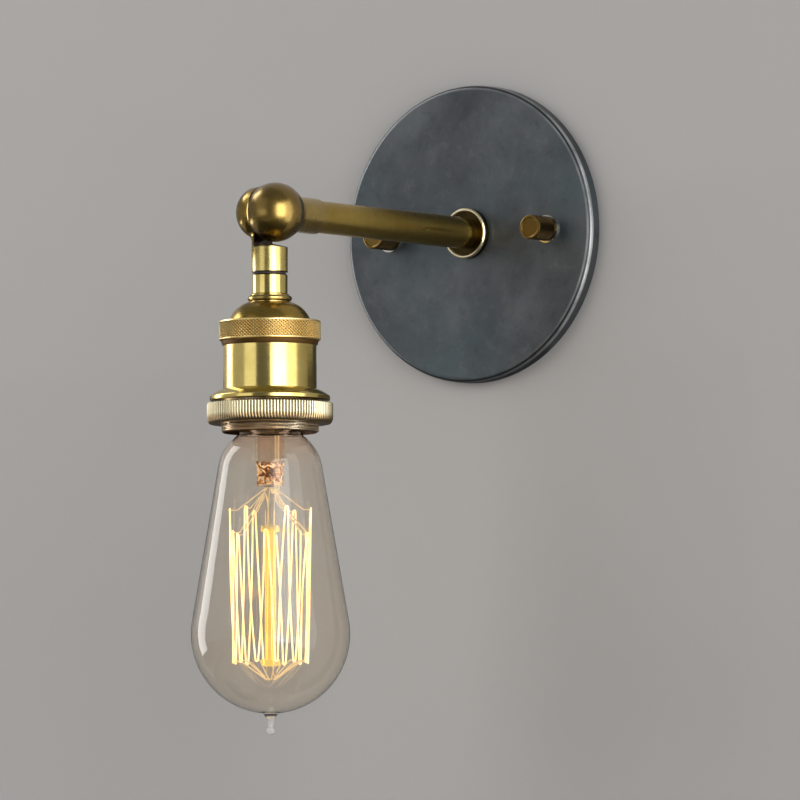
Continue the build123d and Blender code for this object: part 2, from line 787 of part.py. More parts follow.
# Ceramic core: block with the terminals and a sleeve around the screw shell
centre_slot = (contact_width + 2 * contact_slot_gap, contact_sheet + 2 * contact_slot_gap)
centre_y = terminal_offset / 2 - terminal_head_diameter / 4
side_y = shell_bore + shell_wall / 2 - contact_sheet / 2
with BuildPart() as ceramic_core:
    with BuildSketch(head_level(core_seat)):
        Circle(core_radius)
    extrude(amount=core_top - core_seat)
    with BuildSketch(head_level(core_seat)):
        Circle(sleeve_radius)
    extrude(amount=-core_sleeve_length)
    with BuildSketch(head_level(core_floor_bottom)):
        Circle(shell_radius + thread_clearance)
    extrude(amount=-(core_floor_bottom - core_seat + core_sleeve_length), mode=Mode.SUBTRACT)
    with BuildSketch(head_level(core_top)):
        with Locations((0, centre_y), (0, -side_y)):
            Rectangle(*centre_slot)
        with Locations((0, terminal_offset), (0, -terminal_offset)):
            Circle(terminal_screw_diameter / 2 + thread_clearance)
    extrude(amount=-core_floor, mode=Mode.SUBTRACT)

# Screw shell, and the two contact strips with their terminal screws
screw_shell = tube(head_level(shell_top), shell_radius, shell_bore, -shell_length)

terminal_end = terminal_offset + terminal_head_diameter / 2
strip_top = core_top + contact_sheet
tongue_end = contact_level + contact_gap
with BuildPart() as centre_contact:
    with BuildSketch(strip_profile):
        with BuildLine():
            near = centre_y - contact_sheet / 2
            far = centre_y + contact_sheet / 2
            bend = core_floor_bottom - contact_sheet
            reach = -centre_y
            Polyline(
                (terminal_end, core_top),
                (terminal_end, strip_top),
                (near, strip_top),
                (near, bend),
                (reach, tongue_end + contact_sheet),
                (reach, tongue_end),
                (far, bend - contact_sheet),
                (far, core_top),
                close=True,
            )
        make_face()
    extrude(amount=contact_width / 2, both=True)
    with BuildSketch(head_level(core_top)):
        with Locations((0, terminal_offset)):
            Circle(terminal_screw_diameter / 2 + thread_clearance)
    extrude(amount=contact_sheet, mode=Mode.SUBTRACT)

with BuildPart() as side_contact:
    with BuildSketch(strip_profile):
        with BuildLine():
            near = -side_y + contact_sheet / 2
            far = -side_y - contact_sheet / 2
            inner = terminal_head_diameter / 2 - terminal_offset
            Polyline(
                (inner, core_top),
                (inner, strip_top),
                (far, strip_top),
                (far, shell_top),
                (near, shell_top),
                (near, core_top),
                close=True,
            )
        make_face()
    extrude(amount=contact_width / 2, both=True)
    with BuildSketch(head_level(core_top)):
        with Locations((0, -terminal_offset)):
            Circle(terminal_screw_diameter / 2 + thread_clearance)
    extrude(amount=contact_sheet, mode=Mode.SUBTRACT)

terminal_screws = slotted_screw(
    head_level(strip_top),
    terminal_screw_diameter / 2,
    terminal_depth,
    terminal_head_diameter / 2,
    terminal_head_height,
    [(0, terminal_offset), (0, -terminal_offset)],
)


# Wires in the head, from the hollow of the dome to the terminals
def head_wire(side):
    """Wire on one side of the head, side +1 or -1."""
    lane = -arm_reach + side * wire_pitch / 2
    lane_x = -neck_offset - nipple_bore + wire_diameter
    end = -arm_reach + side * (terminal_offset - terminal_head_diameter / 2 - wire_end_gap)
    level = strip_top + wire_radius + wire_clearance
    bore_end = -neck_length + neck_thread_depth
    return wire_run(
        [
            (slot_x, lane, -post_radius - wire_diameter),
            (slot_x, lane, bore_end - wire_end_gap),
            (lane_x, lane, neck_nipple_top + wire_end_gap),
            (lane_x, lane, neck_nipple_top - wire_bend),
            (-neck_offset, lane, neck_nipple_top - 3 * wire_bend),
            (-neck_offset, lane, level),
            (-neck_offset, end, level),
        ],
        wire_bend / 2,
    )


live_wire_head = head_wire(1)
neutral_wire_head = head_wire(-1)

# Bulb base: shell, insulator and contact
base_radius = bulb_base_diameter / 2
contact_bottom = contact_level - bulb_contact_height
base_top = contact_bottom - bulb_insulator_height
base_bottom = base_top - bulb_base_length
contact_bore = rod_radius / 2
bulb_contact = tube(head_level(contact_bottom), bulb_contact_diameter / 2, contact_bore, bulb_contact_height)
with BuildPart() as bulb_insulator:
    with BuildSketch(head_profile):
        with BuildLine():
            Polyline(
                (0, contact_bottom),
                (bulb_contact_diameter / 2, contact_bottom),
                (bulb_insulator_diameter / 2, base_top),
                (0, base_top),
                close=True,
            )
        make_face()
    revolve(axis=head_axis)

with BuildPart() as bulb_base:
    with BuildSketch(head_profile):
        with BuildLine():
            Polyline(
                (base_radius, base_bottom),
                (base_radius, base_top - bulb_base_wall),
                (bulb_insulator_diameter / 2, base_top),
                (bulb_insulator_diameter / 4, base_top),
                (bulb_insulator_diameter / 4, base_top - bulb_base_wall),
                (bulb_insulator_diameter / 2, base_top - bulb_base_wall),
                (base_radius - bulb_base_wall, base_top - 2 * bulb_base_wall),
                (base_radius - bulb_base_wall, base_bottom),
                close=True,
            )
        make_face()
    revolve(axis=head_axis)


# Bulb glass: neck, shoulder, cone and round end, with a drawn-off tip
def glass_outline(shrink):
    """Half outline of the glass, moved inwards by a wall thickness."""
    slope = radians(glass_cone_angle)
    ball = glass_ball_radius - shrink
    touch = (ball * cos(slope), glass_centre + ball * sin(slope))
    shoulder_height = contact_level - glass_shoulder_drop
    shoulder = (touch[0] - (shoulder_height - touch[1]) * tan(slope), shoulder_height)
    mouth = (glass_mouth_diameter / 2 - shrink, glass_mouth)
    neck = (glass_neck_diameter / 2 - shrink, base_bottom)
    neck_top = (glass_neck_diameter / 2 - shrink, base_bottom + glass_neck_length)
    foot = (0, glass_centre - ball)
    half = (ball * cos(radians(45)), glass_centre - ball * sin(radians(45)))
    Line((0, neck_top[1]), neck_top)
    Line(neck_top, neck)
    Line(neck, mouth)
    TangentArc(shoulder, mouth, tangent=(-sin(slope), cos(slope)))
    Line(shoulder, touch)
    ThreePointArc(touch, half, foot)
    Line(foot, (0, neck_top[1]))


glass_foot = glass_centre - glass_ball_radius
tip_end = glass_foot - tip_length
with BuildPart() as bulb_glass:
    with BuildSketch(head_profile):
        with BuildLine():
            glass_outline(0)
        make_face()
    revolve(axis=head_axis)
    with BuildSketch(head_profile):
        with BuildLine():
            glass_outline(glass_wall)
        make_face()
    revolve(axis=head_axis, mode=Mode.SUBTRACT)
    with BuildSketch(head_profile):
        with BuildLine():
            ball_top = tip_end + tip_ball_radius + sqrt(tip_ball_radius**2 - tip_neck_radius**2)
            Line((0, glass_foot + glass_wall / 2), (tip_root_radius, glass_foot + glass_wall / 2))
            TangentArc(
                (tip_neck_radius, ball_top),
                (tip_root_radius, glass_foot + glass_wall / 2),
                tangent=(0, 1),
            )
            ThreePointArc(
                (tip_neck_radius, ball_top),
                (tip_ball_radius, tip_end + tip_ball_radius),
                (0, tip_end),
            )
            Line((0, tip_end), (0, glass_foot + glass_wall / 2))
        make_face()
    revolve(axis=head_axis)

# Bulb stem: sealed flare, tube and pinch
stem_mouth = base_bottom + glass_neck_length / 2
pinch_top = contact_level - stem_tube_drop
pinch_bottom = pinch_top - pinch_length
with BuildPart() as bulb_stem:
    with BuildSketch(head_profile):
        with BuildLine():
            rim = glass_neck_diameter / 2 - glass_wall - thread_clearance
            Polyline(
                (rim, stem_mouth),
                (rim, stem_mouth - glass_wall),
                (stem_tube_radius, glass_mouth),
                (stem_tube_radius, pinch_top),
                (stem_tube_radius - glass_wall, pinch_top),
                (stem_tube_radius - glass_wall, glass_mouth + glass_wall),
                (rim - glass_wall, stem_mouth),
                close=True,
            )
        make_face()
    revolve(axis=head_axis)
    with BuildSketch(head_level(pinch_top)):
        Circle(stem_tube_radius)
    with BuildSketch(head_level(pinch_top - pinch_length / 2)):
        RectangleRounded(pinch_width, pinch_thickness, pinch_thickness / 3)
    loft()
    with BuildSketch(head_level(pinch_bottom)):
        RectangleRounded(pinch_width, pinch_thickness, pinch_thickness / 3)
    extrude(amount=pinch_length / 2)

# Centre rod with its two buttons
rod_end = contact_level - lower_button_drop - rod_tail
with BuildPart() as bulb_rod:
    with BuildSketch(head_level(rod_end)):
        Circle(rod_radius)
    extrude(amount=pinch_bottom - rod_end)
    for drop in (upper_button_drop, lower_button_drop):
        with BuildSketch(head_level(contact_level - drop - button_height / 2)):
            Circle(button_radius)
        extrude(amount=button_height)

# Filament: one wire looped between the upper and lower hooks, broken at the two leads
cage_x = -neck_offset
cage_y = -arm_reach


def on_cage(radius, angle, height):
    """Point on the cage at a radius and an angle in degrees."""
    return Vector(cage_x + radius * cos(radians(angle)), cage_y + radius * sin(radians(angle)), height)


hook_step = 360 / cage_hooks
top_level = contact_level - cage_top_drop
bottom_level = contact_level - cage_bottom_drop
top_turn = degrees(hook_radius / cage_radius_top)
bottom_turn = degrees(hook_radius / cage_radius_bottom)


def hook_level(hook):
    """Level of an upper hook: every second one stands higher."""
    return top_level + hook % 2 * cage_rise


with BuildPart() as filament:
    with BuildLine() as strands:
        here = on_cage(cage_radius_top, lead_angle, top_level)
        for hook in range(cage_hooks):
            low = (hook + 0.5) * hook_step
            high = (hook + 1) * hook_step
            down = on_cage(cage_radius_bottom, low - bottom_turn, bottom_level)
            apex = on_cage(cage_radius_bottom, low, bottom_level - hook_radius)
            away = on_cage(cage_radius_bottom, low + bottom_turn, bottom_level)
            Line(here, down)
            ThreePointArc(down, apex, away)
            if hook < cage_hooks - 1:
                loop_level = hook_level(hook + 1)
                up = on_cage(cage_radius_top, high - top_turn, loop_level)
                crown = on_cage(cage_radius_top, high, loop_level + hook_radius)
                here = on_cage(cage_radius_top, high + top_turn, loop_level)
                Line(away, up)
                ThreePointArc(up, crown, here)
            else:
                Line(away, on_cage(cage_radius_top, high - lead_angle, top_level))
    with BuildSketch(Plane(origin=strands.line @ 0, z_dir=strands.line % 0)):
        Circle(filament_radius)
    sweep()


# Supports: ribs cast into the rod, each ending in a level hook through a loop of the filament
hook_reach = hook_radius - filament_radius - support_wire_radius - hook_gap
rib_root = rod_radius - support_seat
with BuildPart() as upper_supports:
    for hook in range(1, cage_hooks):
        angle = hook * hook_step
        level = hook_level(hook) + hook_reach
        with BuildLine() as rib:
            FilletPolyline(
                on_cage(rib_root, angle, pinch_bottom - support_seat),
                on_cage(cage_radius_top - hook_straight, angle, level),
                on_cage(cage_radius_top + hook_overhang, angle, level),
                radius=support_bend,
            )
        with BuildSketch(Plane(origin=rib.line @ 0, z_dir=rib.line % 0)):
            Circle(support_wire_radius)
        sweep()

with BuildPart() as lower_supports:
    for hook in range(cage_hooks):
        angle = (hook + 0.5) * hook_step
        level = bottom_level - hook_reach
        with BuildLine() as rib:
            FilletPolyline(
                on_cage(rib_root, angle, rod_end + support_seat),
                on_cage(cage_radius_bottom - hook_straight, angle, level),
                on_cage(cage_radius_bottom + hook_overhang, angle, level),
                radius=support_bend,
            )
        with BuildSketch(Plane(origin=rib.line @ 0, z_dir=rib.line % 0)):
            Circle(support_wire_radius)
        sweep()

# Lead wires cast into the pinch, each crimped on an end of the filament
with BuildPart() as lead_wires:
    for side in (1, -1):
        lane = cage_y + side * pinch_thickness / 4
        with BuildLine() as lead:
            FilletPolyline(
                Vector(cage_x + lead_spread, lane, pinch_bottom + lead_seat),
                Vector(cage_x + lead_spread, lane, pinch_bottom - lead_drop),
                on_cage(cage_radius_top, side * lead_angle, top_level + lead_wire_radius),
                radius=lead_bend,
            )
        with BuildSketch(Plane(origin=lead.line @ 0, z_dir=lead.line % 0)):
            Circle(lead_wire_radius)
        sweep()

# Export
pieces = {
    "mounting_bracket": mounting_bracket,
    "canopy_studs": canopy_studs,
    "stud_lock_nuts": stud_lock_nuts,
    "earth_screw": earth_screw,
    "earth_washer": earth_washer,
    "canopy": canopy,
    "nut_washers": nut_washers,
    "thumb_nut_left": thumb_nut_left,
    "thumb_nut_right": thumb_nut_right,
    "arm_flange": arm_flange,
    "arm_ferrule": arm_ferrule,
    "arm_rear_nipple": arm_rear_nipple,
    "arm_lock_washer": arm_lock_washer,
    "arm_lock_nut": arm_lock_nut,
    "wire_bush": wire_bush,
    "arm_tube": arm_tube,
    "arm_front_nipple": arm_front_nipple,
    "live_wire_arm": live_wire_arm,
    "neutral_wire_arm": neutral_wire_arm,
    "knuckle_arm_half": knuckle_arm_half,
    "knuckle_head_half": knuckle_head_half,
    "friction_washer": friction_washer,
    "spring_washer": spring_washer,
    "pivot_screw": pivot_screw,
    "neck_washer": neck_washer,
    "neck_coupler": neck_coupler,
    "collar_ring": collar_ring,
    "neck_nipple": neck_nipple,
    "holder_cap": holder_cap,
    "nipple_nut": nipple_nut,
    "cap_bush": cap_bush,
    "cap_ring": cap_ring,
    "holder_body": holder_body,
    "threaded_barrel": threaded_barrel,
    "shade_ring": shade_ring,
    "ceramic_core": ceramic_core,
    "screw_shell": screw_shell,
    "centre_contact": centre_contact,
    "side_contact": side_contact,
    "terminal_screws": terminal_screws,
    "live_wire_head": live_wire_head,
    "neutral_wire_head": neutral_wire_head,
    "bulb_contact": bulb_contact,
    "bulb_insulator": bulb_insulator,
    "bulb_base": bulb_base,
    "bulb_glass": bulb_glass,
    "bulb_stem": bulb_stem,
    "bulb_rod": bulb_rod,
    "filament": filament,
    "upper_supports": upper_supports,
    "lower_supports": lower_supports,
    "lead_wires": lead_wires,
}
os.makedirs("parts", exist_ok=True)
for name, piece in pieces.items():
    piece.part.label = name
    export_step(piece.part, f"parts/{name}.step")
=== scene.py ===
"""Looks of an industrial wall light: camera, materials, detailed pieces and a plain studio."""

import math

import bpy
from mathutils import Matrix, Vector


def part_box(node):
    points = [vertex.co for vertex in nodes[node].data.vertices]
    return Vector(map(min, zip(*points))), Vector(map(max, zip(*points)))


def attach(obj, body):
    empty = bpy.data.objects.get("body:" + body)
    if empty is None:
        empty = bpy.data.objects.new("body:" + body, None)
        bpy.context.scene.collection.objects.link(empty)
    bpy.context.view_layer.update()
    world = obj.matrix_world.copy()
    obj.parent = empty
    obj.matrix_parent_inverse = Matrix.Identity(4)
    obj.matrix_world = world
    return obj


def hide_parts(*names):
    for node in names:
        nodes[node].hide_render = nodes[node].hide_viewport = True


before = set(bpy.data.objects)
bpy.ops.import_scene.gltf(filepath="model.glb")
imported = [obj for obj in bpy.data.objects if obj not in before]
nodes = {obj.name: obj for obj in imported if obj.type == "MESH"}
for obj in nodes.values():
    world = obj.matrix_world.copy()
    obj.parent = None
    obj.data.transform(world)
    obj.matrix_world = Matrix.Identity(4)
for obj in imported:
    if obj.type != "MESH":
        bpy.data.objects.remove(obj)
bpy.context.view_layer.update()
scene = bpy.context.scene
scene.view_settings.view_transform = "Standard"

# Places on the part, in metres
PIVOT = Vector((0.0, -0.140, 0.0))
HEAD_AXIS = Vector((-0.0028, -0.140, 0.0))
BALL_RADIUS = 0.012
UP = Vector((0, 0, 1))
OUT_OF_WALL = Vector((0, -1, 0))

# Camera, fitted to the photograph's landmarks
CAMERA_AZIMUTH = 35.87
CAMERA_ELEVATION = -4.1
CAMERA_ROLL = 0.17
CAMERA_DISTANCE = 6.0
CLIP_START = 0.1
CLIP_END = 60.0
FOCAL_PIXELS = 14906.0
IMAGE_PIXELS = 800.0
SENSOR_MM = 36.0
AIM_RIGHT = 0.05002
AIM_UP = -0.07576


def direction(azimuth, elevation):
    """Unit vector towards a place round the object, in degrees from its front and from level."""
    around = math.radians(azimuth)
    rise = math.radians(elevation)
    level = math.cos(rise)
    return Vector((math.sin(around) * level, -math.cos(around) * level, math.sin(rise)))


def make_camera():
    azimuth = math.radians(CAMERA_AZIMUTH)
    back = direction(CAMERA_AZIMUTH, CAMERA_ELEVATION)
    right = Vector((math.cos(azimuth), math.sin(azimuth), 0.0))
    up = back.cross(right)
    data = bpy.data.cameras.new("camera")
    data.sensor_fit = "HORIZONTAL"
    data.sensor_width = SENSOR_MM
    data.lens = FOCAL_PIXELS / IMAGE_PIXELS * SENSOR_MM
    data.clip_start = CLIP_START
    data.clip_end = CLIP_END
    camera = bpy.data.objects.new("camera", data)
    scene.collection.objects.link(camera)
    place = PIVOT + AIM_RIGHT * right + AIM_UP * up + CAMERA_DISTANCE * back
    turn = Matrix((right, up, back)).transposed().to_4x4()
    roll = Matrix.Rotation(math.radians(-CAMERA_ROLL), 4, "Z")
    camera.matrix_world = Matrix.Translation(place) @ turn @ roll
    scene.camera = camera


make_camera()

# Sockets of the colour form of a Mix node
MIX_A = 6
MIX_B = 7
MIX_RESULT = 2


class Look:
    """A material with a Principled shader and short calls for its nodes."""

    def __init__(self, name):
        self.material = bpy.data.materials.new(name)
        self.material.use_nodes = True
        self.tree = self.material.node_tree
        self.tree.nodes.clear()
        self.out = self.node("ShaderNodeOutputMaterial")
        self.bsdf = self.node("ShaderNodeBsdfPrincipled")
        self.join(self.bsdf.outputs["BSDF"], self.out.inputs["Surface"])
        self.place = self.node("ShaderNodeTexCoord").outputs["Object"]

    def node(self, kind):
        return self.tree.nodes.new(kind)

    def join(self, source, target):
        self.tree.links.new(source, target)

    def feed(self, target, value):
        """Link a node's output to a socket, or set a plain value on it."""
        if isinstance(value, bpy.types.NodeSocket):
            self.join(value, target)
        else:
            target.default_value = value

    def set(self, **values):
        for name, value in values.items():
            self.feed(self.bsdf.inputs[name.replace("_", " ")], value)

    def base_colour(self):
        """The output that feeds the base colour so far."""
        return self.bsdf.inputs["Base Color"].links[0].from_socket

    def stretch(self, scale, offset=(0, 0, 0)):
        mapping = self.node("ShaderNodeMapping")
        mapping.inputs["Scale"].default_value = scale
        mapping.inputs["Location"].default_value = offset
        self.join(self.place, mapping.inputs["Vector"])
        return mapping.outputs["Vector"]

    def noise(self, scale, detail, roughness, vector=None, distortion=0.0):
        noise = self.node("ShaderNodeTexNoise")
        noise.inputs["Scale"].default_value = scale
        noise.inputs["Detail"].default_value = detail
        noise.inputs["Roughness"].default_value = roughness
        noise.inputs["Distortion"].default_value = distortion
        self.join(vector or self.place, noise.inputs["Vector"])
        return noise.outputs["Fac"]

    def ramp(self, factor, *stops):
        ramp = self.node("ShaderNodeValToRGB")
        elements = ramp.color_ramp.elements
        while len(elements) < len(stops):
            elements.new(0.5)
        for element, (position, colour) in zip(elements, stops):
            element.position = position
            element.color = (*colour, 1.0)
        self.join(factor, ramp.inputs["Fac"])
        return ramp.outputs["Color"]

    def calc(self, operation, a, b=0.0, clamp=False):
        node = self.node("ShaderNodeMath")
        node.operation = operation
        node.use_clamp = clamp
        self.feed(node.inputs[0], a)
        self.feed(node.inputs[1], b)
        return node.outputs["Value"]

    def remap(self, value, low, high, to_low=0.0, to_high=1.0):
        node = self.node("ShaderNodeMapRange")
        self.feed(node.inputs["Value"], value)
        node.inputs["From Min"].default_value = low
        node.inputs["From Max"].default_value = high
        node.inputs["To Min"].default_value = to_low
        node.inputs["To Max"].default_value = to_high
        return node.outputs["Result"]

    def mix(self, factor, a, b):
        node = self.node("ShaderNodeMix")
        node.data_type = "RGBA"
        self.feed(node.inputs["Factor"], factor)
        for socket, value in ((node.inputs[MIX_A], a), (node.inputs[MIX_B], b)):
            linked = isinstance(value, bpy.types.NodeSocket)
            self.feed(socket, value if linked else (*value, 1.0))
        return node.outputs[MIX_RESULT]

    def axis(self, name):
        split = self.node("ShaderNodeSeparateXYZ")
        self.join(self.place, split.inputs[0])
        return split.outputs[name]

    def distance(self, first, second, centre=(0.0, 0.0)):
        """Distance from a line that crosses the plane of two axes."""
        squares = []
        for name, middle in zip((first, second), centre):
            along = self.calc("SUBTRACT", self.axis(name), middle)
            squares.append(self.calc("MULTIPLY", along, along))
        return self.calc("SQRT", self.calc("ADD", *squares))

    def bump(self, height, strength, distance):
        node = self.node("ShaderNodeBump")
        node.inputs["Strength"].default_value = strength
        node.inputs["Distance"].default_value = distance
        self.join(height, node.inputs["Height"])
        self.join(node.outputs["Normal"], self.bsdf.inputs["Normal"])


# Noise: scale, detail and roughness
PATCHES = (42.0, 5.0, 0.62)
SPECKS = (700.0, 4.0, 0.7)
MARKS = (1.0, 3.0, 0.6)
NECK_PATCHES = (60.0, 4.0, 0.6)
PLAIN_CLOUD = (180.0, 4.0, 0.6)
PLAIN_GRAIN = (1080.0, 3.0, 0.6)

# Values of a noise between which a tone changes
PATCH_LOW = 0.34
PATCH_HIGH = 0.66
SPECK_LOW = 0.58
SPECK_HIGH = 0.80
NOISE_LOW = 0.3
NOISE_HIGH = 0.7

# Run of the fine marks on a surface
UPRIGHT = (60.0, 60.0, 2600.0)
ALONG_ARM = (260.0, 16.0, 260.0)
EVEN = (130.0, 130.0, 130.0)

# Dark and light tones
AGED = ((0.21, 0.132, 0.02), (0.36, 0.235, 0.045))
ARM = ((0.42, 0.285, 0.06), (0.62, 0.44, 0.12))
BRIGHT = ((0.60, 0.465, 0.14), (0.78, 0.63, 0.235))
KNUCKLE = ((0.28, 0.18, 0.032), (0.46, 0.31, 0.068))
CAP = ((0.32, 0.21, 0.043), (0.53, 0.365, 0.09))
KNURL = ((0.90, 0.66, 0.27), (1.0, 0.82, 0.42))
COLLAR = ((0.34, 0.25, 0.075), (0.50, 0.38, 0.14))
COPPER = ((0.92, 0.70, 0.46), (1.0, 0.88, 0.68))
FLANGE_DISH = ((0.030, 0.020, 0.007), (0.062, 0.042, 0.014))
NUT_KNURL = ((0.036, 0.024, 0.010), (0.082, 0.056, 0.022))
PALE_RIB = ((0.54, 0.48, 0.30), (0.66, 0.60, 0.42))

# Single tones
JOINT_DARK_AND_SHADE = (0.03, 0.018, 0.006)
ARM_SHADE_AT_WALL = (0.16, 0.105, 0.02)
RIM_WEAR_AND_HIGHLIGHT = (1.0, 0.88, 0.58)
NUT_GROOVE_SHADE = (0.02, 0.013, 0.005)
NUT_FACE = (0.19, 0.12, 0.032)
RIB_GROOVE_SHADE = (0.085, 0.06, 0.028)
RIB_LIP_SHADE = (0.26, 0.175, 0.085)
BROWN_SHARE = (0.45, 0.38, 0.30)
GROOVE_SHADE_SHARE = (0.14, 0.10, 0.08)

# Heights and places, in metres, between which a tone changes on the knuckle's head half
NECK_TO_BRIGHT = (-0.0125, -0.0145)
CREVICE_Z = (-0.0143, -0.0138)
CREVICE_X = (-0.0064, -0.0060)

# Distances from an edge, in metres, between which a tone changes
FOOT_LINE = (0.00035, 0.00055)
HEAD_LINE = (-0.00055, -0.00035)
BALL_TO_BOSS = (-0.0012, -0.0002)
FLANGE_RIM = (-0.0013, -0.0009)
FLANGE_FRONT = (0.0007, 0.0014)
NUT_GROOVE_DEPTH = (-0.00026, -0.00012)
NUT_FACE_DEPTH = (0.0007, 0.0004)
RIBS_START = (-0.0004, 0.0002)
LIP_TO_RIBS = (-0.0003, 0.0011)

# Shares of the grooves' depth between which painted shade is full and gone
GROOVE_SHARES = (0.80, 0.45)
RIB_SHARES = (0.8, 0.4)

# Sizes of the shade ring's ribs and lips
SHADE_RIBS = 120
SHADE_RIB_DEPTH = 0.00041
SHADE_RIB_FLAT = 0.4
SHADE_LIP_HEIGHT = 0.0028
SHADE_LIP_INSET = 0.0015
SHADE_EDGE = 0.0005
SHADE_BORE = 0.01988

# Depths of the knurl on the cap ring and of the painted shade in the barrel's thread
CAP_KNURL_DEPTH = 0.00065
THREAD_SHADE_DEPTH = 0.0008


def near(edge, offsets):
    return [edge + offset for offset in offsets]


def below(crest, depth, shares):
    return [crest - share * depth for share in shares]


def darker(tone, shares):
    return [part * share for part, share in zip(tone, shares)]


def brass(name, tones, rough, lines, tarnish=0.35, grooves=None):
    """Brass with patches of tarnish, specks and fine turning lines. Grooves are a node and their depth;
    they are darkened towards black as painted shade.
    """
    dark, light = tones
    look = Look(name)
    patches = look.noise(*PATCHES)
    specks = look.noise(*SPECKS)
    marks = look.noise(*MARKS, look.stretch(lines))
    tone = look.ramp(patches, (PATCH_LOW, dark), (PATCH_HIGH, light))
    speck = look.remap(specks, SPECK_LOW, SPECK_HIGH, 0.0, tarnish)
    tone = look.mix(speck, tone, darker(dark, BROWN_SHARE))
    spread = look.remap(patches, NOISE_LOW, NOISE_HIGH, rough + 0.06, rough - 0.03)
    spread = look.calc("ADD", spread, look.remap(marks, NOISE_LOW, NOISE_HIGH, -0.04, 0.04))
    if grooves:
        node, deep = grooves
        low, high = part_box(node)
        crest = (high[0] - low[0]) / 2
        radius = look.distance("X", "Y", HEAD_AXIS.xy)
        # Painted shade: the grooves darken towards black by their depth below the crest.
        depth = look.remap(radius, *below(crest, deep, GROOVE_SHARES), 1.0, 0.0)
        tone = look.mix(depth, tone, darker(dark, GROOVE_SHADE_SHARE))
        spread = look.calc("ADD", spread, look.calc("MULTIPLY", depth, 0.2))
    look.set(Base_Color=tone, Roughness=spread, Metallic=1.0)
    look.bump(marks, 0.05, 0.0002)
    return look


def make_neck_look():
    """Aged on the ball, bright on the neck, painted shade in the crevice between them and a dark line at
    the foot.
    """
    look = brass("knuckle_brass", KNUCKLE, 0.24, EVEN, 0.2)
    aged_tone = look.base_colour()
    height = look.axis("Z")
    bright = look.ramp(look.noise(*NECK_PATCHES), (PATCH_LOW, BRIGHT[0]), (PATCH_HIGH, BRIGHT[1]))
    tone = look.mix(look.remap(height, *NECK_TO_BRIGHT), aged_tone, bright)
    # Painted shade: the pocket under the ball is darkened.
    crevice = look.calc(
        "MULTIPLY",
        look.remap(height, *CREVICE_Z),
        look.remap(look.axis("X"), *CREVICE_X),
    )
    tone = look.mix(crevice, tone, JOINT_DARK_AND_SHADE)
    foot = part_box("knuckle_head_half")[0][2]
    line = look.remap(height, *near(foot, FOOT_LINE), 1.0, 0.0)
    look.set(Base_Color=look.mix(line, tone, JOINT_DARK_AND_SHADE))
    look.set(Coat_Weight=0.5, Coat_Roughness=0.12)
    return look.material


def make_arm_look():
    """Lighter near the ball, darker towards the wall: painted shade and a painted reflection of the dark
    plate.
    """
    look = brass("aged_brass", ARM, 0.30, ALONG_ARM, 0.2)
    low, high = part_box("arm_tube")
    # Painted shade: darker towards the wall.
    wall_shade = look.remap(look.axis("Y"), low[1], high[1], 0.0, 0.62)
    look.set(Base_Color=look.mix(wall_shade, look.base_colour(), ARM_SHADE_AT_WALL))
    return look.material


def make_ball_look():
    """Dark on the ball, as light as the arm on the boss behind it."""
    look = brass("aged_ball_brass", AGED, 0.26, EVEN, 0.2)
    boss = look.ramp(look.noise(*PATCHES), (PATCH_LOW, ARM[0]), (PATCH_HIGH, ARM[1]))
    ball_end = PIVOT.y + BALL_RADIUS
    behind = look.remap(look.axis("Y"), *near(ball_end, BALL_TO_BOSS))
    look.set(Base_Color=look.mix(behind, look.base_colour(), boss))
    look.set(Coat_Weight=0.8, Coat_Roughness=0.22)
    return look.material


def make_flange_look():
    """Dark dish with a bright rim, part wear and part painted highlight."""
    look = brass("flange_brass", FLANGE_DISH, 0.28, EVEN, 0.15)
    low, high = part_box("arm_flange")
    # Wear and painted highlight: the front of the rim is lightened.
    rim_wear_and_highlight = look.calc(
        "MULTIPLY",
        look.remap(look.distance("X", "Z"), *near(high[0], FLANGE_RIM)),
        look.remap(look.axis("Y"), *near(low[1], FLANGE_FRONT), 1.0, 0.0),
    )
    look.set(Base_Color=look.mix(rim_wear_and_highlight, look.base_colour(), RIM_WEAR_AND_HIGHLIGHT))
    return look.material


def make_nut_look(side):
    """Knurl darkened as painted shade, darker still in its grooves, and a plain brass end."""
    # Painted shade: the knurled side takes a dark tone.
    look = brass("thumb_nut_brass_" + side, NUT_KNURL, 0.30, EVEN, 0.2)
    low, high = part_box("thumb_nut_" + side)
    crest = (high[0] - low[0]) / 2
    centre = ((low[0] + high[0]) / 2, (low[2] + high[2]) / 2)
    radius = look.distance("X", "Z", centre)
    # Painted shade, deeper in the grooves.
    groove_shade = look.remap(radius, *near(crest, NUT_GROOVE_DEPTH), 1.0, 0.0)
    tone = look.mix(groove_shade, look.base_colour(), NUT_GROOVE_SHADE)
    face = look.remap(look.axis("Y"), *near(low[1], NUT_FACE_DEPTH))
    look.set(Base_Color=look.mix(face, tone, NUT_FACE))
    return look.material


def make_coupler_look():
    """Bright brass with a dark line where the washer meets it."""
    look = brass("coupler_brass", BRIGHT, 0.15, UPRIGHT, 0.2)
    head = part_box("neck_coupler")[1][2]
    line = look.remap(look.axis("Z"), *near(head, HEAD_LINE))
    look.set(Base_Color=look.mix(line, look.base_colour(), JOINT_DARK_AND_SHADE))
    return look.material


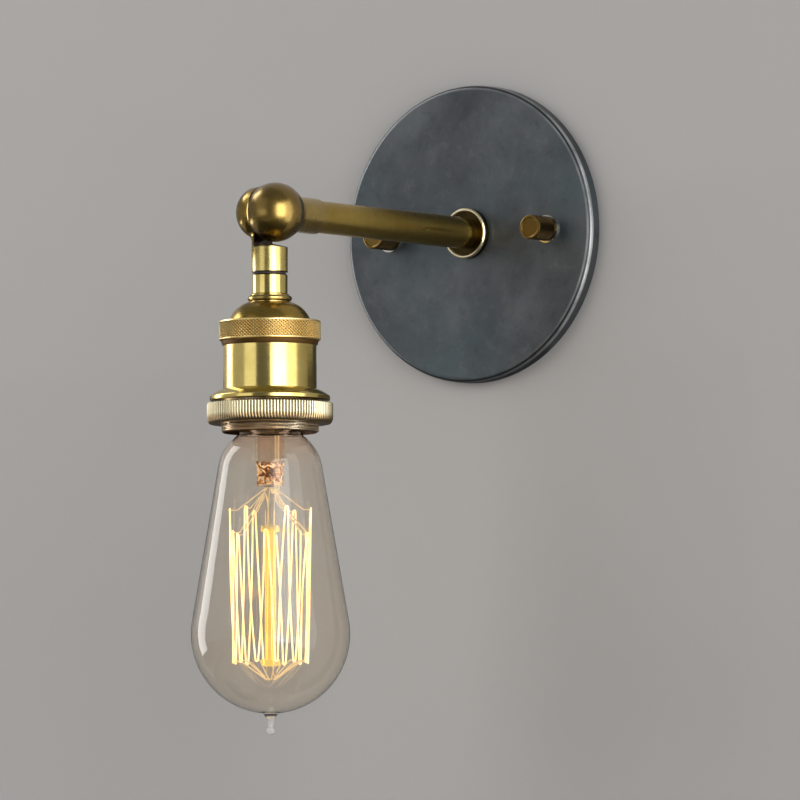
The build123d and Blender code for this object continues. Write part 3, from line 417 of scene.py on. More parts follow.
def make_shade_ring_look():
    """Pale ribs with painted shade in their grooves, running out on a rounded lip that darkens as painted
    shade.
    """
    look = brass("pale_knurled_brass", PALE_RIB, 0.32, UPRIGHT, 0.1)
    low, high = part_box("shade_ring")
    crest = (high[0] - low[0]) / 2
    ribs_end = low[2] + SHADE_LIP_HEIGHT
    height = look.axis("Z")
    radius = look.distance("X", "Y", HEAD_AXIS.xy)
    # Painted shade in the grooves of the ribs.
    groove_shade = look.calc(
        "MULTIPLY",
        look.remap(radius, *below(crest, SHADE_RIB_DEPTH, RIB_SHARES), 0.85, 0.0),
        look.remap(height, *near(ribs_end, RIBS_START)),
    )
    tone = look.mix(groove_shade, look.base_colour(), RIB_GROOVE_SHADE)
    # Painted shade: the lip darkens below the ribs.
    lip = look.remap(height, *near(ribs_end, LIP_TO_RIBS), 0.88, 0.0)
    look.set(Base_Color=look.mix(lip, tone, RIB_LIP_SHADE))
    return look.material


aged = make_arm_look()
aged_ball = make_ball_look()
aged_cap = brass("aged_cap_brass", CAP, 0.22, UPRIGHT).material
neck_look = make_neck_look()
polished = brass("polished_brass", BRIGHT, 0.15, UPRIGHT, 0.2).material
# Painted shade in the grooves of the cap ring's knurl and of the barrel's thread.
knurled = brass("knurled_brass", KNURL, 0.33, EVEN, 0.1, ("cap_ring", CAP_KNURL_DEPTH)).material
collar = brass("collar_brass", COLLAR, 0.20, UPRIGHT, 0.3).material
coupler_look = make_coupler_look()
pale_knurl = make_shade_ring_look()
copper = brass("coppery_brass", COPPER, 0.30, UPRIGHT, 0.1, ("threaded_barrel", THREAD_SHADE_DEPTH)).material
flange_brass = make_flange_look()
nut_left = make_nut_look("left")
nut_right = make_nut_look("right")


def plain(name, colour, rough, metallic=0.0, shift=0.25, glow=None):
    """A simple finish with tone and gloss that vary a little. A glow is its colour and strength."""
    look = Look(name)
    cloud = look.noise(*PLAIN_CLOUD)
    low = [part * (1 - shift) for part in colour]
    high = [min(1.0, part * (1 + shift)) for part in colour]
    look.set(
        Base_Color=look.ramp(cloud, (NOISE_LOW, low), (NOISE_HIGH, high)),
        Roughness=look.remap(cloud, NOISE_LOW, NOISE_HIGH, rough - 0.06, rough + 0.08),
        Metallic=metallic,
    )
    if glow:
        look.set(Emission_Color=(*glow[0], 1.0), Emission_Strength=glow[1])
    look.bump(look.noise(*PLAIN_GRAIN), 0.08, 0.0002)
    return look.material


# Edge of the plate, in metres behind its face: a line of wear and painted highlight, a dark band of painted
# shade and a second line of wear and painted highlight
INNER_LINE_END = (0.00022, 0.00035)
OUTER_LINE_START = (0.0007, 0.0011)
OUTER_LINE_END = (0.0022, 0.0027)
INNER_LINE_WIDTH = (-0.0020, -0.0015)

# Noise and tones of the plate
CLOUDS = (26.0, 6.0, 0.62)
MOTTLE = (150.0, 6.0, 0.75)
TINT = (15.0, 3.0, 0.5)
TINT_OFFSET = (3.1, 0.4, 1.7)
RUBBING = (90.0, 4.0, 0.6)
STEEL_CLOUDS = (
    (0.3, (0.046, 0.051, 0.058)),
    (0.5, (0.074, 0.082, 0.090)),
    (0.72, (0.112, 0.122, 0.132)),
)
STEEL_TINT = (0.062, 0.086, 0.097)
STEEL_PALE = (0.150, 0.160, 0.170)
STEEL_DARK = (0.025, 0.028, 0.033)
STEEL_SHADE_BAND = (0.018, 0.021, 0.024)
STEEL_WEAR_AND_HIGHLIGHT = (0.80, 0.81, 0.82)


def make_canopy_look():
    """Blued, blackened steel: clouds, mottling and two bright lines on its edge, wear with a painted
    highlight that is strongest on the right.
    """
    look = Look("blackened_steel")
    clouds = look.noise(*CLOUDS, distortion=0.3)
    mottle = look.noise(*MOTTLE)
    tint = look.noise(*TINT, look.stretch((1.0, 1.0, 1.0), TINT_OFFSET))
    tone = look.ramp(clouds, *STEEL_CLOUDS)
    tone = look.mix(look.remap(tint, 0.48, 0.66, 0.0, 0.7), tone, STEEL_TINT)
    tone = look.mix(look.remap(mottle, 0.54, 0.72, 0.0, 0.34), tone, STEEL_PALE)
    tone = look.mix(look.remap(mottle, 0.46, 0.30, 0.0, 0.40), tone, STEEL_DARK)
    low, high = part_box("canopy")
    rim = high[0]
    radius = look.distance("X", "Z")
    depth = look.calc("SUBTRACT", look.axis("Y"), low[1])
    outer = look.calc(
        "MULTIPLY",
        look.remap(depth, *OUTER_LINE_START),
        look.remap(depth, *OUTER_LINE_END, 1.0, 0.0),
    )
    inner = look.calc(
        "MULTIPLY",
        look.remap(radius, *near(rim, INNER_LINE_WIDTH), 0.0, 0.4),
        look.remap(depth, *INNER_LINE_END, 1.0, 0.0),
    )
    between = look.calc(
        "MULTIPLY",
        look.remap(depth, *INNER_LINE_END, 0.0, 0.8),
        look.remap(depth, *OUTER_LINE_START, 1.0, 0.0),
    )
    # Painted shade: a dark band between the two lines.
    tone = look.mix(between, tone, STEEL_SHADE_BAND)
    edge = look.calc("ADD", outer, inner)
    rubbing = look.remap(look.noise(*RUBBING), 0.30, 0.62, 0.35, 1.0)
    wear_and_highlight = look.calc("MULTIPLY", edge, rubbing, clamp=True)
    # Painted highlight: the lines fade towards the top, bottom and left.
    aside = look.calc("ABSOLUTE", look.axis("Z"))
    wear_and_highlight = look.calc("MULTIPLY", wear_and_highlight, look.remap(aside, rim * 0.35, rim * 0.85, 1.0, 0.3))
    wear_and_highlight = look.calc("MULTIPLY", wear_and_highlight, look.remap(look.axis("X"), rim * -0.5, rim * 0.5, 0.25, 1.0))
    spread = look.remap(clouds, NOISE_LOW, NOISE_HIGH, 0.34, 0.46)
    spread = look.calc("SUBTRACT", spread, look.calc("MULTIPLY", wear_and_highlight, 0.14))
    look.set(Base_Color=look.mix(wear_and_highlight, tone, STEEL_WEAR_AND_HIGHLIGHT), Roughness=spread, Metallic=0.6)
    look.bump(mottle, 0.08, 0.0003)
    return look.material


canopy_look = make_canopy_look()
steel = plain("plated_steel", (0.56, 0.55, 0.52), 0.30, 1.0, 0.12)
bright_washer = plain("bright_washer", (0.80, 0.77, 0.70), 0.16, 1.0, 0.1)
fibre = plain("fibre", (0.05, 0.035, 0.025), 0.7)
black_plastic = plain("black_plastic", (0.03, 0.03, 0.03), 0.5)
porcelain = plain("porcelain", (0.80, 0.79, 0.75), 0.25, 0.0, 0.04)
brown_wire = plain("brown_wire", (0.18, 0.07, 0.03), 0.4)
blue_wire = plain("blue_wire", (0.06, 0.13, 0.33), 0.4)
green = plain("earth_green", (0.05, 0.25, 0.08), 0.35, 0.6)
black_glass = plain("black_glass", (0.02, 0.02, 0.025), 0.15)
# Painted light: the support wires glow as if lit by the filament.
support = plain("support_wire", (0.85, 0.68, 0.44), 0.30, 1.0, glow=((1.0, 0.76, 0.46), 0.5))

GLASS_IOR = 1.45
UNLIT = (0.0, 0.0, 0.0)

# Noise in the glass and along the filament
BULB_SWIRL = (26.0, 3.0, 0.5)
ROD_SWIRL = (120.0, 3.0, 0.5)
STEM_FOLDS = (300.0, 2.0, 0.5)
FILAMENT_HEAT = (160.0, 2.0, 0.5)

# Heights, in metres, at which the glass changes: bulb, rod and stem
TIP_HEIGHT = (0.0060, 0.0085)
WARM_HEIGHT = 0.014
ROD_TAIL = 0.0063
ROD_FADE = 0.003
ROD_TAIL_FADE = 0.0006
ROD_TOP_SHARE = 0.19
PINCH_TOP = (0.0100, 0.0085)
PINCH_FOOT = (0.0012, 0.0006)


def make_bulb_look():
    """Clear glass with a warm cast, warmer towards the cap as a painted reflection of warm light, and a
    milky drawn-off tip.
    """
    look = Look("clear_glass")
    height = look.axis("Z")
    swirl = look.noise(*BULB_SWIRL)
    body = look.ramp(swirl, (NOISE_LOW, (0.98, 0.925, 0.85)), (NOISE_HIGH, (1.0, 0.955, 0.89)))
    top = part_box("threaded_barrel")[0][2]
    # Painted reflection: the glass turns warmer towards the cap.
    warm = look.remap(height, top - WARM_HEIGHT, top, 0.0, 0.5)
    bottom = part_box("bulb_glass")[0][2]
    tip = look.remap(height, *near(bottom, TIP_HEIGHT), 1.0, 0.0)
    body = look.mix(warm, body, (0.94, 0.70, 0.54))
    look.set(
        Base_Color=look.mix(tip, body, (0.96, 0.97, 0.96)),
        Roughness=0.0,
        Transmission_Weight=look.remap(tip, 0.0, 1.0, 1.0, 0.5),
        IOR=GLASS_IOR,
    )
    return look.material


def make_rod_look():
    """Clear glass at both ends, yellow with the filament's light between its two buttons."""
    look = Look("rod_glass")
    height = look.axis("Z")
    low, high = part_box("bulb_rod")
    button = high[2] - ROD_TOP_SHARE * (high[2] - low[2])
    tail = low[2] + ROD_TAIL
    lit = look.calc(
        "MULTIPLY",
        look.remap(height, button, button - ROD_FADE),
        look.remap(height, tail - ROD_TAIL_FADE, tail),
    )
    swirl = look.noise(*ROD_SWIRL)
    warm = look.ramp(swirl, (NOISE_LOW, (1.0, 0.72, 0.20)), (NOISE_HIGH, (1.0, 0.90, 0.42)))
    look.set(
        Base_Color=look.mix(lit, (0.98, 0.93, 0.86), warm),
        Roughness=0.02,
        Transmission_Weight=1.0,
        IOR=GLASS_IOR,
        Emission_Color=look.mix(lit, UNLIT, (1.0, 0.76, 0.20)),
        Emission_Strength=0.28,
    )
    return look.material


def make_stem_look():
    """Clear glass tube that ends in a crumpled, coppery pinch that glows with painted light from the
    filament.
    """
    look = Look("stem_glass")
    height = look.axis("Z")
    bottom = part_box("bulb_stem")[0][2]
    fold = look.noise(*STEM_FOLDS, distortion=1.6)
    pinch = look.calc(
        "MULTIPLY",
        look.remap(height, *near(bottom, PINCH_TOP)),
        look.remap(height, *near(bottom, PINCH_FOOT), 1.0, 0.0),
    )
    tube = look.ramp(fold, (0.35, (0.96, 0.86, 0.76)), (0.65, (1.0, 0.95, 0.90)))
    crumple_and_glow = look.ramp(
        fold,
        (0.38, (0.05, 0.018, 0.006)),
        (0.47, (0.30, 0.11, 0.035)),
        (0.54, (0.80, 0.42, 0.16)),
        (0.64, (1.0, 0.84, 0.55)),
    )
    look.set(
        Base_Color=look.mix(pinch, tube, crumple_and_glow),
        Roughness=look.remap(pinch, 0.0, 1.0, 0.02, 0.16),
        Metallic=look.calc("MULTIPLY", pinch, 0.7),
        Transmission_Weight=1.0,
        IOR=GLASS_IOR,
        # Painted light: the pinch glows in its own colours.
        Emission_Color=look.mix(pinch, UNLIT, crumple_and_glow),
        Emission_Strength=0.45,
    )
    look.bump(look.calc("MULTIPLY", fold, pinch), 0.8, 0.0015)
    return look.material


def make_glow():
    """Hot filament, a little uneven along the wire."""
    look = Look("filament_glow")
    heat = look.noise(*FILAMENT_HEAT)
    colour = look.ramp(
        heat,
        (0.3, (1.0, 0.58, 0.18)),
        (0.5, (1.0, 0.73, 0.35)),
        (0.75, (1.0, 0.83, 0.52)),
    )
    look.set(Base_Color=colour, Emission_Color=colour, Emission_Strength=1.7, Roughness=0.5)
    return look.material


clear = make_bulb_look()
rod_glass = make_rod_look()
stem_glass = make_stem_look()
glow = make_glow()

finishes = {
    canopy_look: ["canopy"],
    steel: [
        "mounting_bracket",
        "canopy_studs",
        "stud_lock_nuts",
        "earth_washer",
        "arm_rear_nipple",
        "arm_lock_washer",
        "arm_lock_nut",
        "arm_front_nipple",
        "spring_washer",
        "pivot_screw",
        "neck_nipple",
        "nipple_nut",
        "terminal_screws",
        "bulb_contact",
    ],
    bright_washer: ["nut_washers"],
    aged: ["arm_ferrule", "arm_tube"],
    flange_brass: ["arm_flange"],
    aged_ball: ["knuckle_arm_half"],
    neck_look: ["knuckle_head_half"],
    aged_cap: ["holder_cap"],
    collar: ["collar_ring"],
    polished: ["holder_body", "screw_shell", "bulb_base"],
    coupler_look: ["neck_coupler"],
    knurled: ["cap_ring"],
    nut_left: ["thumb_nut_left"],
    nut_right: ["thumb_nut_right"],
    pale_knurl: ["shade_ring"],
    copper: ["threaded_barrel", "centre_contact", "side_contact"],
    fibre: ["friction_washer", "neck_washer"],
    black_plastic: ["wire_bush", "cap_bush"],
    porcelain: ["ceramic_core"],
    brown_wire: ["live_wire_arm", "live_wire_head"],
    blue_wire: ["neutral_wire_arm", "neutral_wire_head"],
    green: ["earth_screw"],
    black_glass: ["bulb_insulator"],
    support: ["upper_supports", "lower_supports", "lead_wires"],
    clear: ["bulb_glass"],
    stem_glass: ["bulb_stem"],
    rod_glass: ["bulb_rod"],
    glow: ["filament"],
}
for material, names in finishes.items():
    for name in names:
        mesh = nodes[name].data
        mesh.materials.clear()
        mesh.materials.append(material)

SHARP_ANGLE = 28


def turned(name, node, body, centre, axis, rows, count, material):
    """Ring swept round an axis in place of a CAD node. A row is its height, radius and relief."""
    turn = UP.rotation_difference(axis).to_matrix()
    points = []
    for height, radius, relief in rows:
        for step in range(count):
            angle = 2 * math.pi * step / count
            reach = radius + (relief(angle, height) if relief else 0.0)
            spot = Vector((reach * math.cos(angle), reach * math.sin(angle), height))
            points.append(centre + turn @ spot)
    faces = []
    for row in range(len(rows)):
        here = row * count
        there = (row + 1) % len(rows) * count
        for step in range(count):
            after = (step + 1) % count
            faces.append((here + step, here + after, there + after, there + step))
    mesh = bpy.data.meshes.new(name)
    mesh.from_pydata(points, [], faces)
    mesh.shade_smooth()
    mesh.set_sharp_from_angle(angle=math.radians(SHARP_ANGLE))
    mesh.materials.append(material)
    piece = bpy.data.objects.new(name, mesh)
    scene.collection.objects.link(piece)
    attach(piece, body)
    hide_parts(node)


def smooth_rows(*rows):
    """Rows without relief, from pairs of height and radius."""
    return [(height, radius, None) for height, radius in rows]


def spread_rows(low, high, steps, radius, relief):
    """Rows at even heights, with relief."""
    return [(low + (high - low) * step / steps, radius, relief) for step in range(steps + 1)]


# Knurl: flat share of a diamond, and steps across one
KNURL_FLAT = 0.35
KNURL_STEPS = 6


def diamonds(around, pitch, depth, start):
    """Relief of a diamond knurl: two crossing sets of V grooves."""

    def relief(angle, height):
        across = angle * around / (2 * math.pi)
        along = (height - start) / pitch
        cuts = [abs((across + way * along) % 1.0 - 0.5) * 2 for way in (1, -1)]
        return -depth * max(0.0, max(cuts) - KNURL_FLAT) / (1.0 - KNURL_FLAT)

    return relief


# Cap ring
CAP_EDGE = 0.0004
CAP_BAND = 0.0007
CAP_LIP_HEIGHT = 0.0020
CAP_LIP_STEP = 0.0011
CAP_WALL = 0.0018
CAP_WEB = 0.001
CAP_BORE = 0.0165
CAP_DIAMONDS = 84
CAP_DIAMOND_ROWS = 5


def make_cap_ring():
    """Diamond-knurled ring with plain bands and a stepped lower lip."""
    low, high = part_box("cap_ring")
    radius = (high[0] - low[0]) / 2
    top = high[2]
    bottom = low[2]
    lip = bottom + CAP_LIP_HEIGHT
    knurl_top = top - CAP_BAND
    knurl_bottom = lip + CAP_BAND
    pitch = (knurl_top - knurl_bottom) / CAP_DIAMOND_ROWS
    relief = diamonds(CAP_DIAMONDS, pitch, CAP_KNURL_DEPTH, knurl_bottom)
    rows = smooth_rows(
        (top - CAP_WEB, CAP_BORE),
        (top - CAP_WEB, radius - CAP_WALL),
        (bottom, radius - CAP_WALL),
        (bottom, radius - CAP_LIP_STEP - CAP_EDGE),
        (bottom + CAP_EDGE * 2, radius - CAP_LIP_STEP),
        (lip - CAP_EDGE * 0.5, radius - CAP_LIP_STEP * 0.8),
        (lip, radius - CAP_EDGE),
        (lip + CAP_EDGE, radius),
        (knurl_bottom - CAP_EDGE * 0.1, radius),
    )
    rows += spread_rows(knurl_bottom, knurl_top, CAP_DIAMOND_ROWS * KNURL_STEPS, radius, relief)
    rows += smooth_rows(
        (knurl_top + CAP_EDGE * 0.1, radius),
        (top - CAP_EDGE, radius),
        (top - CAP_EDGE * 0.3, radius - CAP_EDGE * 0.3),
        (top, radius - CAP_EDGE),
        (top, CAP_BORE),
    )
    turned(
        "knurled_cap_ring",
        "cap_ring",
        "lamp_head",
        HEAD_AXIS,
        UP,
        rows,
        CAP_DIAMONDS * KNURL_STEPS,
        knurled,
    )


# Barrel
BARREL_WALL = 0.0014
BARREL_WEB = 0.0016
BARREL_SPIGOT = 0.01718
BARREL_SPIGOT_BORE = 0.01628
BARREL_CHAMFER = 0.0004
BARREL_POINTS = 160
THREAD_PITCH = 0.00128
THREAD_DEPTH = 0.00045
THREAD_STEPS = 8


def make_barrel():
    """Barrel with a helical thread, and a spigot in the holder's body."""
    low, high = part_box("threaded_barrel")
    radius = (high[0] - low[0]) / 2
    bottom = low[2]
    top = high[2]
    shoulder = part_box("holder_body")[0][2]

    def thread(angle, height):
        turns = (height - bottom) / THREAD_PITCH - angle / (2 * math.pi)
        return -THREAD_DEPTH * abs(turns % 1.0 - 0.5) * 2

    rows = smooth_rows(
        (bottom, radius - BARREL_WALL),
        (bottom, radius - THREAD_DEPTH - BARREL_CHAMFER),
        (bottom + BARREL_CHAMFER, radius - THREAD_DEPTH),
    )
    threads = (shoulder - bottom - 2 * BARREL_CHAMFER) / THREAD_PITCH
    thread_start = bottom + BARREL_CHAMFER * 1.2
    thread_end = shoulder - BARREL_CHAMFER
    rows += spread_rows(thread_start, thread_end, int(threads * THREAD_STEPS), radius, thread)
    rows += smooth_rows(
        (shoulder, radius - THREAD_DEPTH),
        (shoulder, BARREL_SPIGOT),
        (top, BARREL_SPIGOT),
        (top, BARREL_SPIGOT_BORE),
        (shoulder - BARREL_WEB, BARREL_SPIGOT_BORE),
        (shoulder - BARREL_WEB, radius - BARREL_WALL),
    )
    turned(
        "threaded_neck",
        "threaded_barrel",
        "lamp_head",
        HEAD_AXIS,
        UP,
        rows,
        BARREL_POINTS,
        copper,
    )


# Steps across a rib, over the lip and over the upper edge of the shade ring
RIB_STEPS = 8
LIP_STEPS = 12
EDGE_STEPS = 4


def make_shade_ring():
    """Ribbed ring: the ribs run out over its rounded lower lip."""
    low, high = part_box("shade_ring")
    radius = (high[0] - low[0]) / 2
    bottom = low[2]
    top = high[2]
    ribs_end = bottom + SHADE_LIP_HEIGHT

    def ribs(angle, height):
        across = angle * SHADE_RIBS / (2 * math.pi)
        cut = abs(across % 1.0 - 0.5) * 2
        fade = min(1.0, max(0.0, (height - bottom) / SHADE_LIP_HEIGHT))
        return -SHADE_RIB_DEPTH * fade * max(0.0, cut - SHADE_RIB_FLAT) / (1.0 - SHADE_RIB_FLAT)

    rows = smooth_rows((bottom, SHADE_BORE))
    for step in range(LIP_STEPS + 1):
        turn = math.pi / 2 * (1 - step / LIP_STEPS)
        reach = radius - SHADE_LIP_INSET * (1 - math.cos(turn))
        rows.append((ribs_end - SHADE_LIP_HEIGHT * math.sin(turn), reach, ribs))
    for step in range(EDGE_STEPS + 1):
        turn = math.pi / 2 * step / EDGE_STEPS
        reach = radius - SHADE_EDGE * (1 - math.cos(turn))
        rows.append((top - SHADE_EDGE * (1 - math.sin(turn)), reach, ribs))
    rows += smooth_rows((top, SHADE_BORE))
    turned(
        "ribbed_shade_ring",
        "shade_ring",
        "shade_ring",
        HEAD_AXIS,
        UP,
        rows,
        SHADE_RIBS * RIB_STEPS,
        pale_knurl,
    )


# Thumb nuts
NUT_EDGE = 0.0004
NUT_PLAIN_END = 0.0009
NUT_BORE = 0.00215
NUT_CROWN = 0.0025
NUT_RIM = 0.0005
NUT_MIDDLE = 0.00002
NUT_DIAMONDS = 40
NUT_DIAMOND_ROWS = 11
NUT_KNURL_DEPTH = 0.00032


def make_thumb_nut(side, material):
    """Knurled nut with a blind bore and a shallow dish in its outer end."""
    node = "thumb_nut_" + side
    low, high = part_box(node)
    radius = (high[0] - low[0]) / 2
    length = high[1] - low[1]
    knurl_low = NUT_PLAIN_END
    knurl_high = length - NUT_PLAIN_END
    dish = length - NUT_EDGE * 0.5
    bore_end = length - NUT_CROWN
    pitch = (knurl_high - knurl_low) / NUT_DIAMOND_ROWS
    relief = diamonds(NUT_DIAMONDS, pitch, NUT_KNURL_DEPTH, knurl_low)
    rows = smooth_rows(
        (bore_end, NUT_BORE),
        (0.0, NUT_BORE),
        (0.0, radius - NUT_EDGE),
        (NUT_EDGE, radius),
        (knurl_low - NUT_EDGE * 0.1, radius),
    )
    rows += spread_rows(knurl_low, knurl_high, NUT_DIAMOND_ROWS * KNURL_STEPS, radius, relief)
    rows += smooth_rows(
        (knurl_high + NUT_EDGE * 0.1, radius),
        (length - NUT_EDGE, radius),
        (length - NUT_EDGE * 0.3, radius - NUT_EDGE * 0.3),
        (length, radius - NUT_EDGE),
        (length, radius - NUT_EDGE - NUT_RIM),
        (dish, radius - NUT_EDGE - NUT_RIM * 1.6),
        (dish, NUT_MIDDLE),
        (bore_end, NUT_MIDDLE),
    )
    turned(
        "knurled_nut_" + side,
        node,
        node,
        Vector(((low[0] + high[0]) / 2, high[1], (low[2] + high[2]) / 2)),
        OUT_OF_WALL,
        rows,
        NUT_DIAMONDS * KNURL_STEPS,
        material,
    )


# Filament: its cage, its hooks, and how its strands bow
CAGE_HOOKS = 12
CAGE_TOP = 0.0164
CAGE_BOTTOM = 0.0152
CAGE_RISE = 0.0095
CAGE_WIRE = 0.0003
HOOK = 0.0006
HOOK_STEPS = 6
LEAD_ANGLE = 6.0
GLOW_WIRE = 0.00034
BOW = 0.0007
BOW_STEPS = 10
BOW_OUT = 2.4
BOW_ASIDE = 1.7


def on_cage(radius, angle, height):
    turn = math.radians(angle)
    return Vector((HEAD_AXIS.x + radius * math.cos(turn), HEAD_AXIS.y + radius * math.sin(turn), height))


def bowed(start, end, number):
    """Points of a strand that bows a little to one side, each strand in its own way."""
    middle = (start + end) / 2
    outward = Vector((middle.x - HEAD_AXIS.x, middle.y - HEAD_AXIS.y, 0.0)).normalized()
    aside = Vector((-outward.y, outward.x, 0.0))
    lean = outward * math.cos(BOW_OUT * number) + aside * math.sin(BOW_ASIDE * number)
    points = []
    for step in range(BOW_STEPS + 1):
        share = step / BOW_STEPS
        points.append(start.lerp(end, share) + lean * BOW * math.sin(math.pi * step / BOW_STEPS))
    return points


def loop(radius, angle, level, way):
    """Points of the wire round a hook, over its top or under it."""
    spread = math.degrees(HOOK / radius)
    points = []
    for step in range(HOOK_STEPS + 1):
        turn = math.pi * step / HOOK_STEPS
        points.append(on_cage(radius, angle - spread * math.cos(turn), level + way * HOOK * math.sin(turn)))
    return points


def make_filament():
    """One wire up and down the cage, between its lead wires."""
    low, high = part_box("filament")
    bottom = low[2] + CAGE_WIRE + HOOK
    top = high[2] - CAGE_WIRE - HOOK - CAGE_RISE
    step = 360 / CAGE_HOOKS
    points = [on_cage(CAGE_TOP, LEAD_ANGLE, top)]
    for hook in range(CAGE_HOOKS):
        under = loop(CAGE_BOTTOM, (hook + 0.5) * step, bottom, -1)
        points += bowed(points[-1], under[0], 2 * hook)[1:] + under[1:]
        if hook < CAGE_HOOKS - 1:
            over = loop(CAGE_TOP, (hook + 1) * step, top + (hook + 1) % 2 * CAGE_RISE, 1)
        else:
            over = [on_cage(CAGE_TOP, 360 - LEAD_ANGLE, top)]
        points += bowed(points[-1], over[0], 2 * hook + 1)[1:] + over[1:]
    curve = bpy.data.curves.new("glowing_filament", "CURVE")
    curve.dimensions = "3D"
    curve.bevel_depth = GLOW_WIRE
    curve.bevel_resolution = 2
    curve.use_fill_caps = True
    wire = curve.splines.new("POLY")
    wire.points.add(len(points) - 1)
    for knot, point in zip(wire.points, points):
        knot.co = (*point, 1.0)
    bent = bpy.data.objects.new("filament_curve", curve)
    mesh = bpy.data.meshes.new_from_object(bent)
    bpy.data.objects.remove(bent)
    mesh.shade_smooth()
    mesh.materials.clear()
    mesh.materials.append(glow)
    piece = bpy.data.objects.new("glowing_filament", mesh)
    scene.collection.objects.link(piece)
    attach(piece, "bulb")
    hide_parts("filament")


make_cap_ring()
make_barrel()
make_shade_ring()
make_filament()
make_thumb_nut("left", nut_left)
make_thumb_nut("right", nut_right)

# Studio
RAYS = ("camera", "diffuse", "glossy", "transmission", "shadow")
ONLY_MIRRORED = ("glossy",)
WALL_COLOUR = (0.47, 0.455, 0.44)
WALL_REACH = 5.5
WALL_SIDES = 64
WALL_GAP = 0.0004
WALL_LAP = 0.002
FLOOR_COLOUR = (0.72, 0.71, 0.70)
FLOOR_SIZE = (16.0, 16.0)
FLOOR_LEVEL = -1.2
BLACK_PAPER = (0.02, 0.02, 0.02)
DARK_PAPER = (0.09, 0.085, 0.08)
GREY_PAPER = (0.9, 0.9, 0.9)
WHITE_PAPER = (1.0, 0.99, 0.97)
WARM_PAPER = (1.0, 0.985, 0.95)


def sheet(name, size, place, aim, material, seen=RAYS):
    """A plain stage sheet that faces a point."""
    across = size[0] / 2
    along = size[1] / 2
    corners = [(-across, -along, 0), (across, -along, 0), (across, along, 0), (-across, along, 0)]
    mesh = bpy.data.meshes.new(name)
    mesh.from_pydata(corners, [], [(0, 1, 2, 3)])
    mesh.materials.append(material)
    made = bpy.data.objects.new(name, mesh)
    made.location = place
    made.rotation_euler = (Vector(aim) - Vector(place)).to_track_quat("Z", "Y").to_euler()
    for ray in RAYS:
        setattr(made, "visible_" + ray, ray in seen)
    scene.collection.objects.link(made)


def card(name, size, place, aim, colour, light=0.0):
    """A card that shows only as a reflection. Without light it is a dark flag."""
    look = Look(name)
    base = UNLIT if light else colour
    look.set(
        Base_Color=(*base, 1.0),
        Roughness=1.0,
        Emission_Color=(*colour, 1.0),
        Emission_Strength=light,
    )
    sheet(name, size, place, aim, look.material, ONLY_MIRRORED)


def backdrop_look(name, colour):
    """Matt paint with faint clouds. It is see-through from behind."""
    look = Look(name)
    cloud = look.noise(3.0, 3.0, 0.5)
    shaded = [part * 0.98 for part in colour]
    look.set(Base_Color=look.ramp(cloud, (NOISE_LOW, shaded), (NOISE_HIGH, colour)), Roughness=0.9)
    see_through = look.node("ShaderNodeBsdfTransparent")
    side = look.node("ShaderNodeNewGeometry")
    pick = look.node("ShaderNodeMixShader")
    look.join(side.outputs["Backfacing"], pick.inputs["Fac"])
    look.join(look.bsdf.outputs["BSDF"], pick.inputs[1])
    look.join(see_through.outputs["BSDF"], pick.inputs[2])
    look.join(pick.outputs["Shader"], look.out.inputs["Surface"])
    return look.material


def make_wall():
    """Wall with an opening behind the plate, as for a wall box."""
    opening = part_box("canopy")[1][0] - WALL_LAP
    points = []
    for radius in (opening, WALL_REACH):
        for step in range(WALL_SIDES):
            angle = 2 * math.pi * step / WALL_SIDES
            points.append((radius * math.cos(angle), WALL_GAP, radius * math.sin(angle)))
    faces = []
    for step in range(WALL_SIDES):
        after = (step + 1) % WALL_SIDES
        faces.append((step, WALL_SIDES + step, WALL_SIDES + after, after))
    mesh = bpy.data.meshes.new("wall")
    mesh.from_pydata(points, [], faces)
    mesh.materials.append(backdrop_look("wall", WALL_COLOUR))
    wall = bpy.data.objects.new("wall", mesh)
    scene.collection.objects.link(wall)


make_wall()
sheet("floor", FLOOR_SIZE, (0, 0, FLOOR_LEVEL), (0, 0, 0), backdrop_look("floor", FLOOR_COLOUR))

# Cards: name, size, place, the point that they face, colour and light
card("flag_below", (1.4, 1.4), (0, -0.2, -0.55), (0, -0.2, 0), BLACK_PAPER)
card("flag_wall", (1.75, 0.5), (-0.74, WALL_GAP / 2, -0.30), (-0.74, -1, -0.30), DARK_PAPER)
card("card_left", (1.8, 1.5), (-0.74, -1.08, 0.35), (0, -0.14, -0.05), WHITE_PAPER, 0.5)
card("flag_ball", (0.11, 0.046), (-0.046, -0.15, 0.008), (0, -0.15, 0.008), GREY_PAPER, 0.2)
card("card_right", (0.24, 0.7), (0.5, -0.125, 0.0), (0, -0.125, 0), WHITE_PAPER, 2.0)
card("card_front", (0.25, 0.15), (-0.104, -0.578, -0.025), (-0.003, -0.14, -0.025), WHITE_PAPER, 1.2)
card("strip_left", (0.36, 1.3), (-0.85, -0.25, 0.2), (0, -0.14, -0.12), WHITE_PAPER, 5.0)
card("strip_right", (0.85, 1.3), (1.2, -0.82, 0.10), (0, -0.14, 0), WARM_PAPER, 5.5)


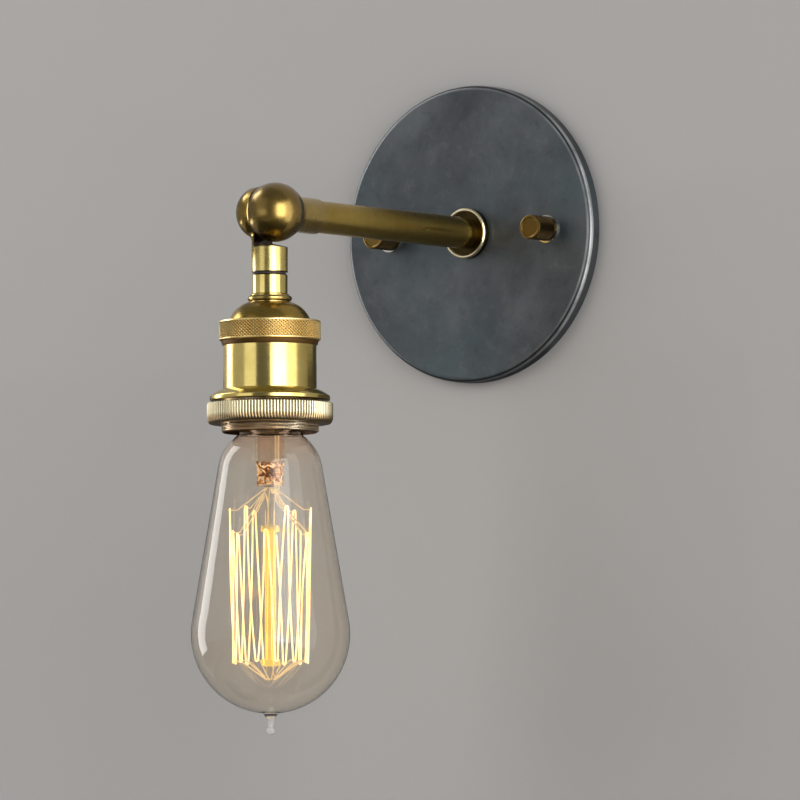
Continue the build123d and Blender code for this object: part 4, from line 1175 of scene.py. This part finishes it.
def area_light(name, azimuth, elevation, distance, aim, size, radiance, mirrored=True):
    """Soft box at an azimuth and elevation round the object, at a given radiance."""
    data = bpy.data.lights.new(name, "AREA")
    data.shape = "RECTANGLE"
    data.size = size[0]
    data.size_y = size[1]
    data.energy = radiance * math.pi * size[0] * size[1]
    lamp = bpy.data.objects.new(name, data)
    lamp.location = aim + distance * direction(azimuth, elevation)
    lamp.rotation_euler = (aim - lamp.location).to_track_quat("-Z", "Y").to_euler()
    lamp.visible_camera = False
    lamp.visible_transmission = False
    lamp.visible_glossy = mirrored
    scene.collection.objects.link(lamp)


# Lamps: name, azimuth, elevation, distance, the point that they face, size and radiance
HEART = Vector((0, -0.12, -0.08))
BEHIND_PLATE = Vector((0, 0.05, 0))
area_light("key", -48, 18, 1.7, HEART, (2.6, 1.4), 1.9, mirrored=False)
area_light("fill", 65, 6, 1.7, HEART, (1.8, 1.3), 2.2)
area_light("rear", 180, 30, 1.7, BEHIND_PLATE, (1.8, 1.3), 1.6)
area_light("top", 10, 78, 1.6, HEART, (1.5, 1.3), 0.5, mirrored=False)

# Sky: height in it and colour, from below to above
SKY_STOPS = ((0.35, (0.14, 0.135, 0.13, 1)), (0.85, (0.27, 0.275, 0.28, 1)))
SKY_STRENGTH = 0.7


def make_world():
    """Dim grey sky, a little lighter above."""
    world = bpy.data.worlds.new("studio")
    scene.world = world
    world.use_nodes = True
    tree = world.node_tree
    tree.nodes.clear()
    out = tree.nodes.new("ShaderNodeOutputWorld")
    sky = tree.nodes.new("ShaderNodeBackground")
    coords = tree.nodes.new("ShaderNodeTexCoord")
    split = tree.nodes.new("ShaderNodeSeparateXYZ")
    ramp = tree.nodes.new("ShaderNodeValToRGB")
    spread = tree.nodes.new("ShaderNodeMapRange")
    spread.inputs["From Min"].default_value = -1.0
    for element, (position, colour) in zip(ramp.color_ramp.elements, SKY_STOPS):
        element.position = position
        element.color = colour
    tree.links.new(coords.outputs["Generated"], split.inputs[0])
    tree.links.new(split.outputs["Z"], spread.inputs["Value"])
    tree.links.new(spread.outputs["Result"], ramp.inputs["Fac"])
    tree.links.new(ramp.outputs["Color"], sky.inputs["Color"])
    sky.inputs["Strength"].default_value = SKY_STRENGTH
    tree.links.new(sky.outputs["Background"], out.inputs["Surface"])


make_world()
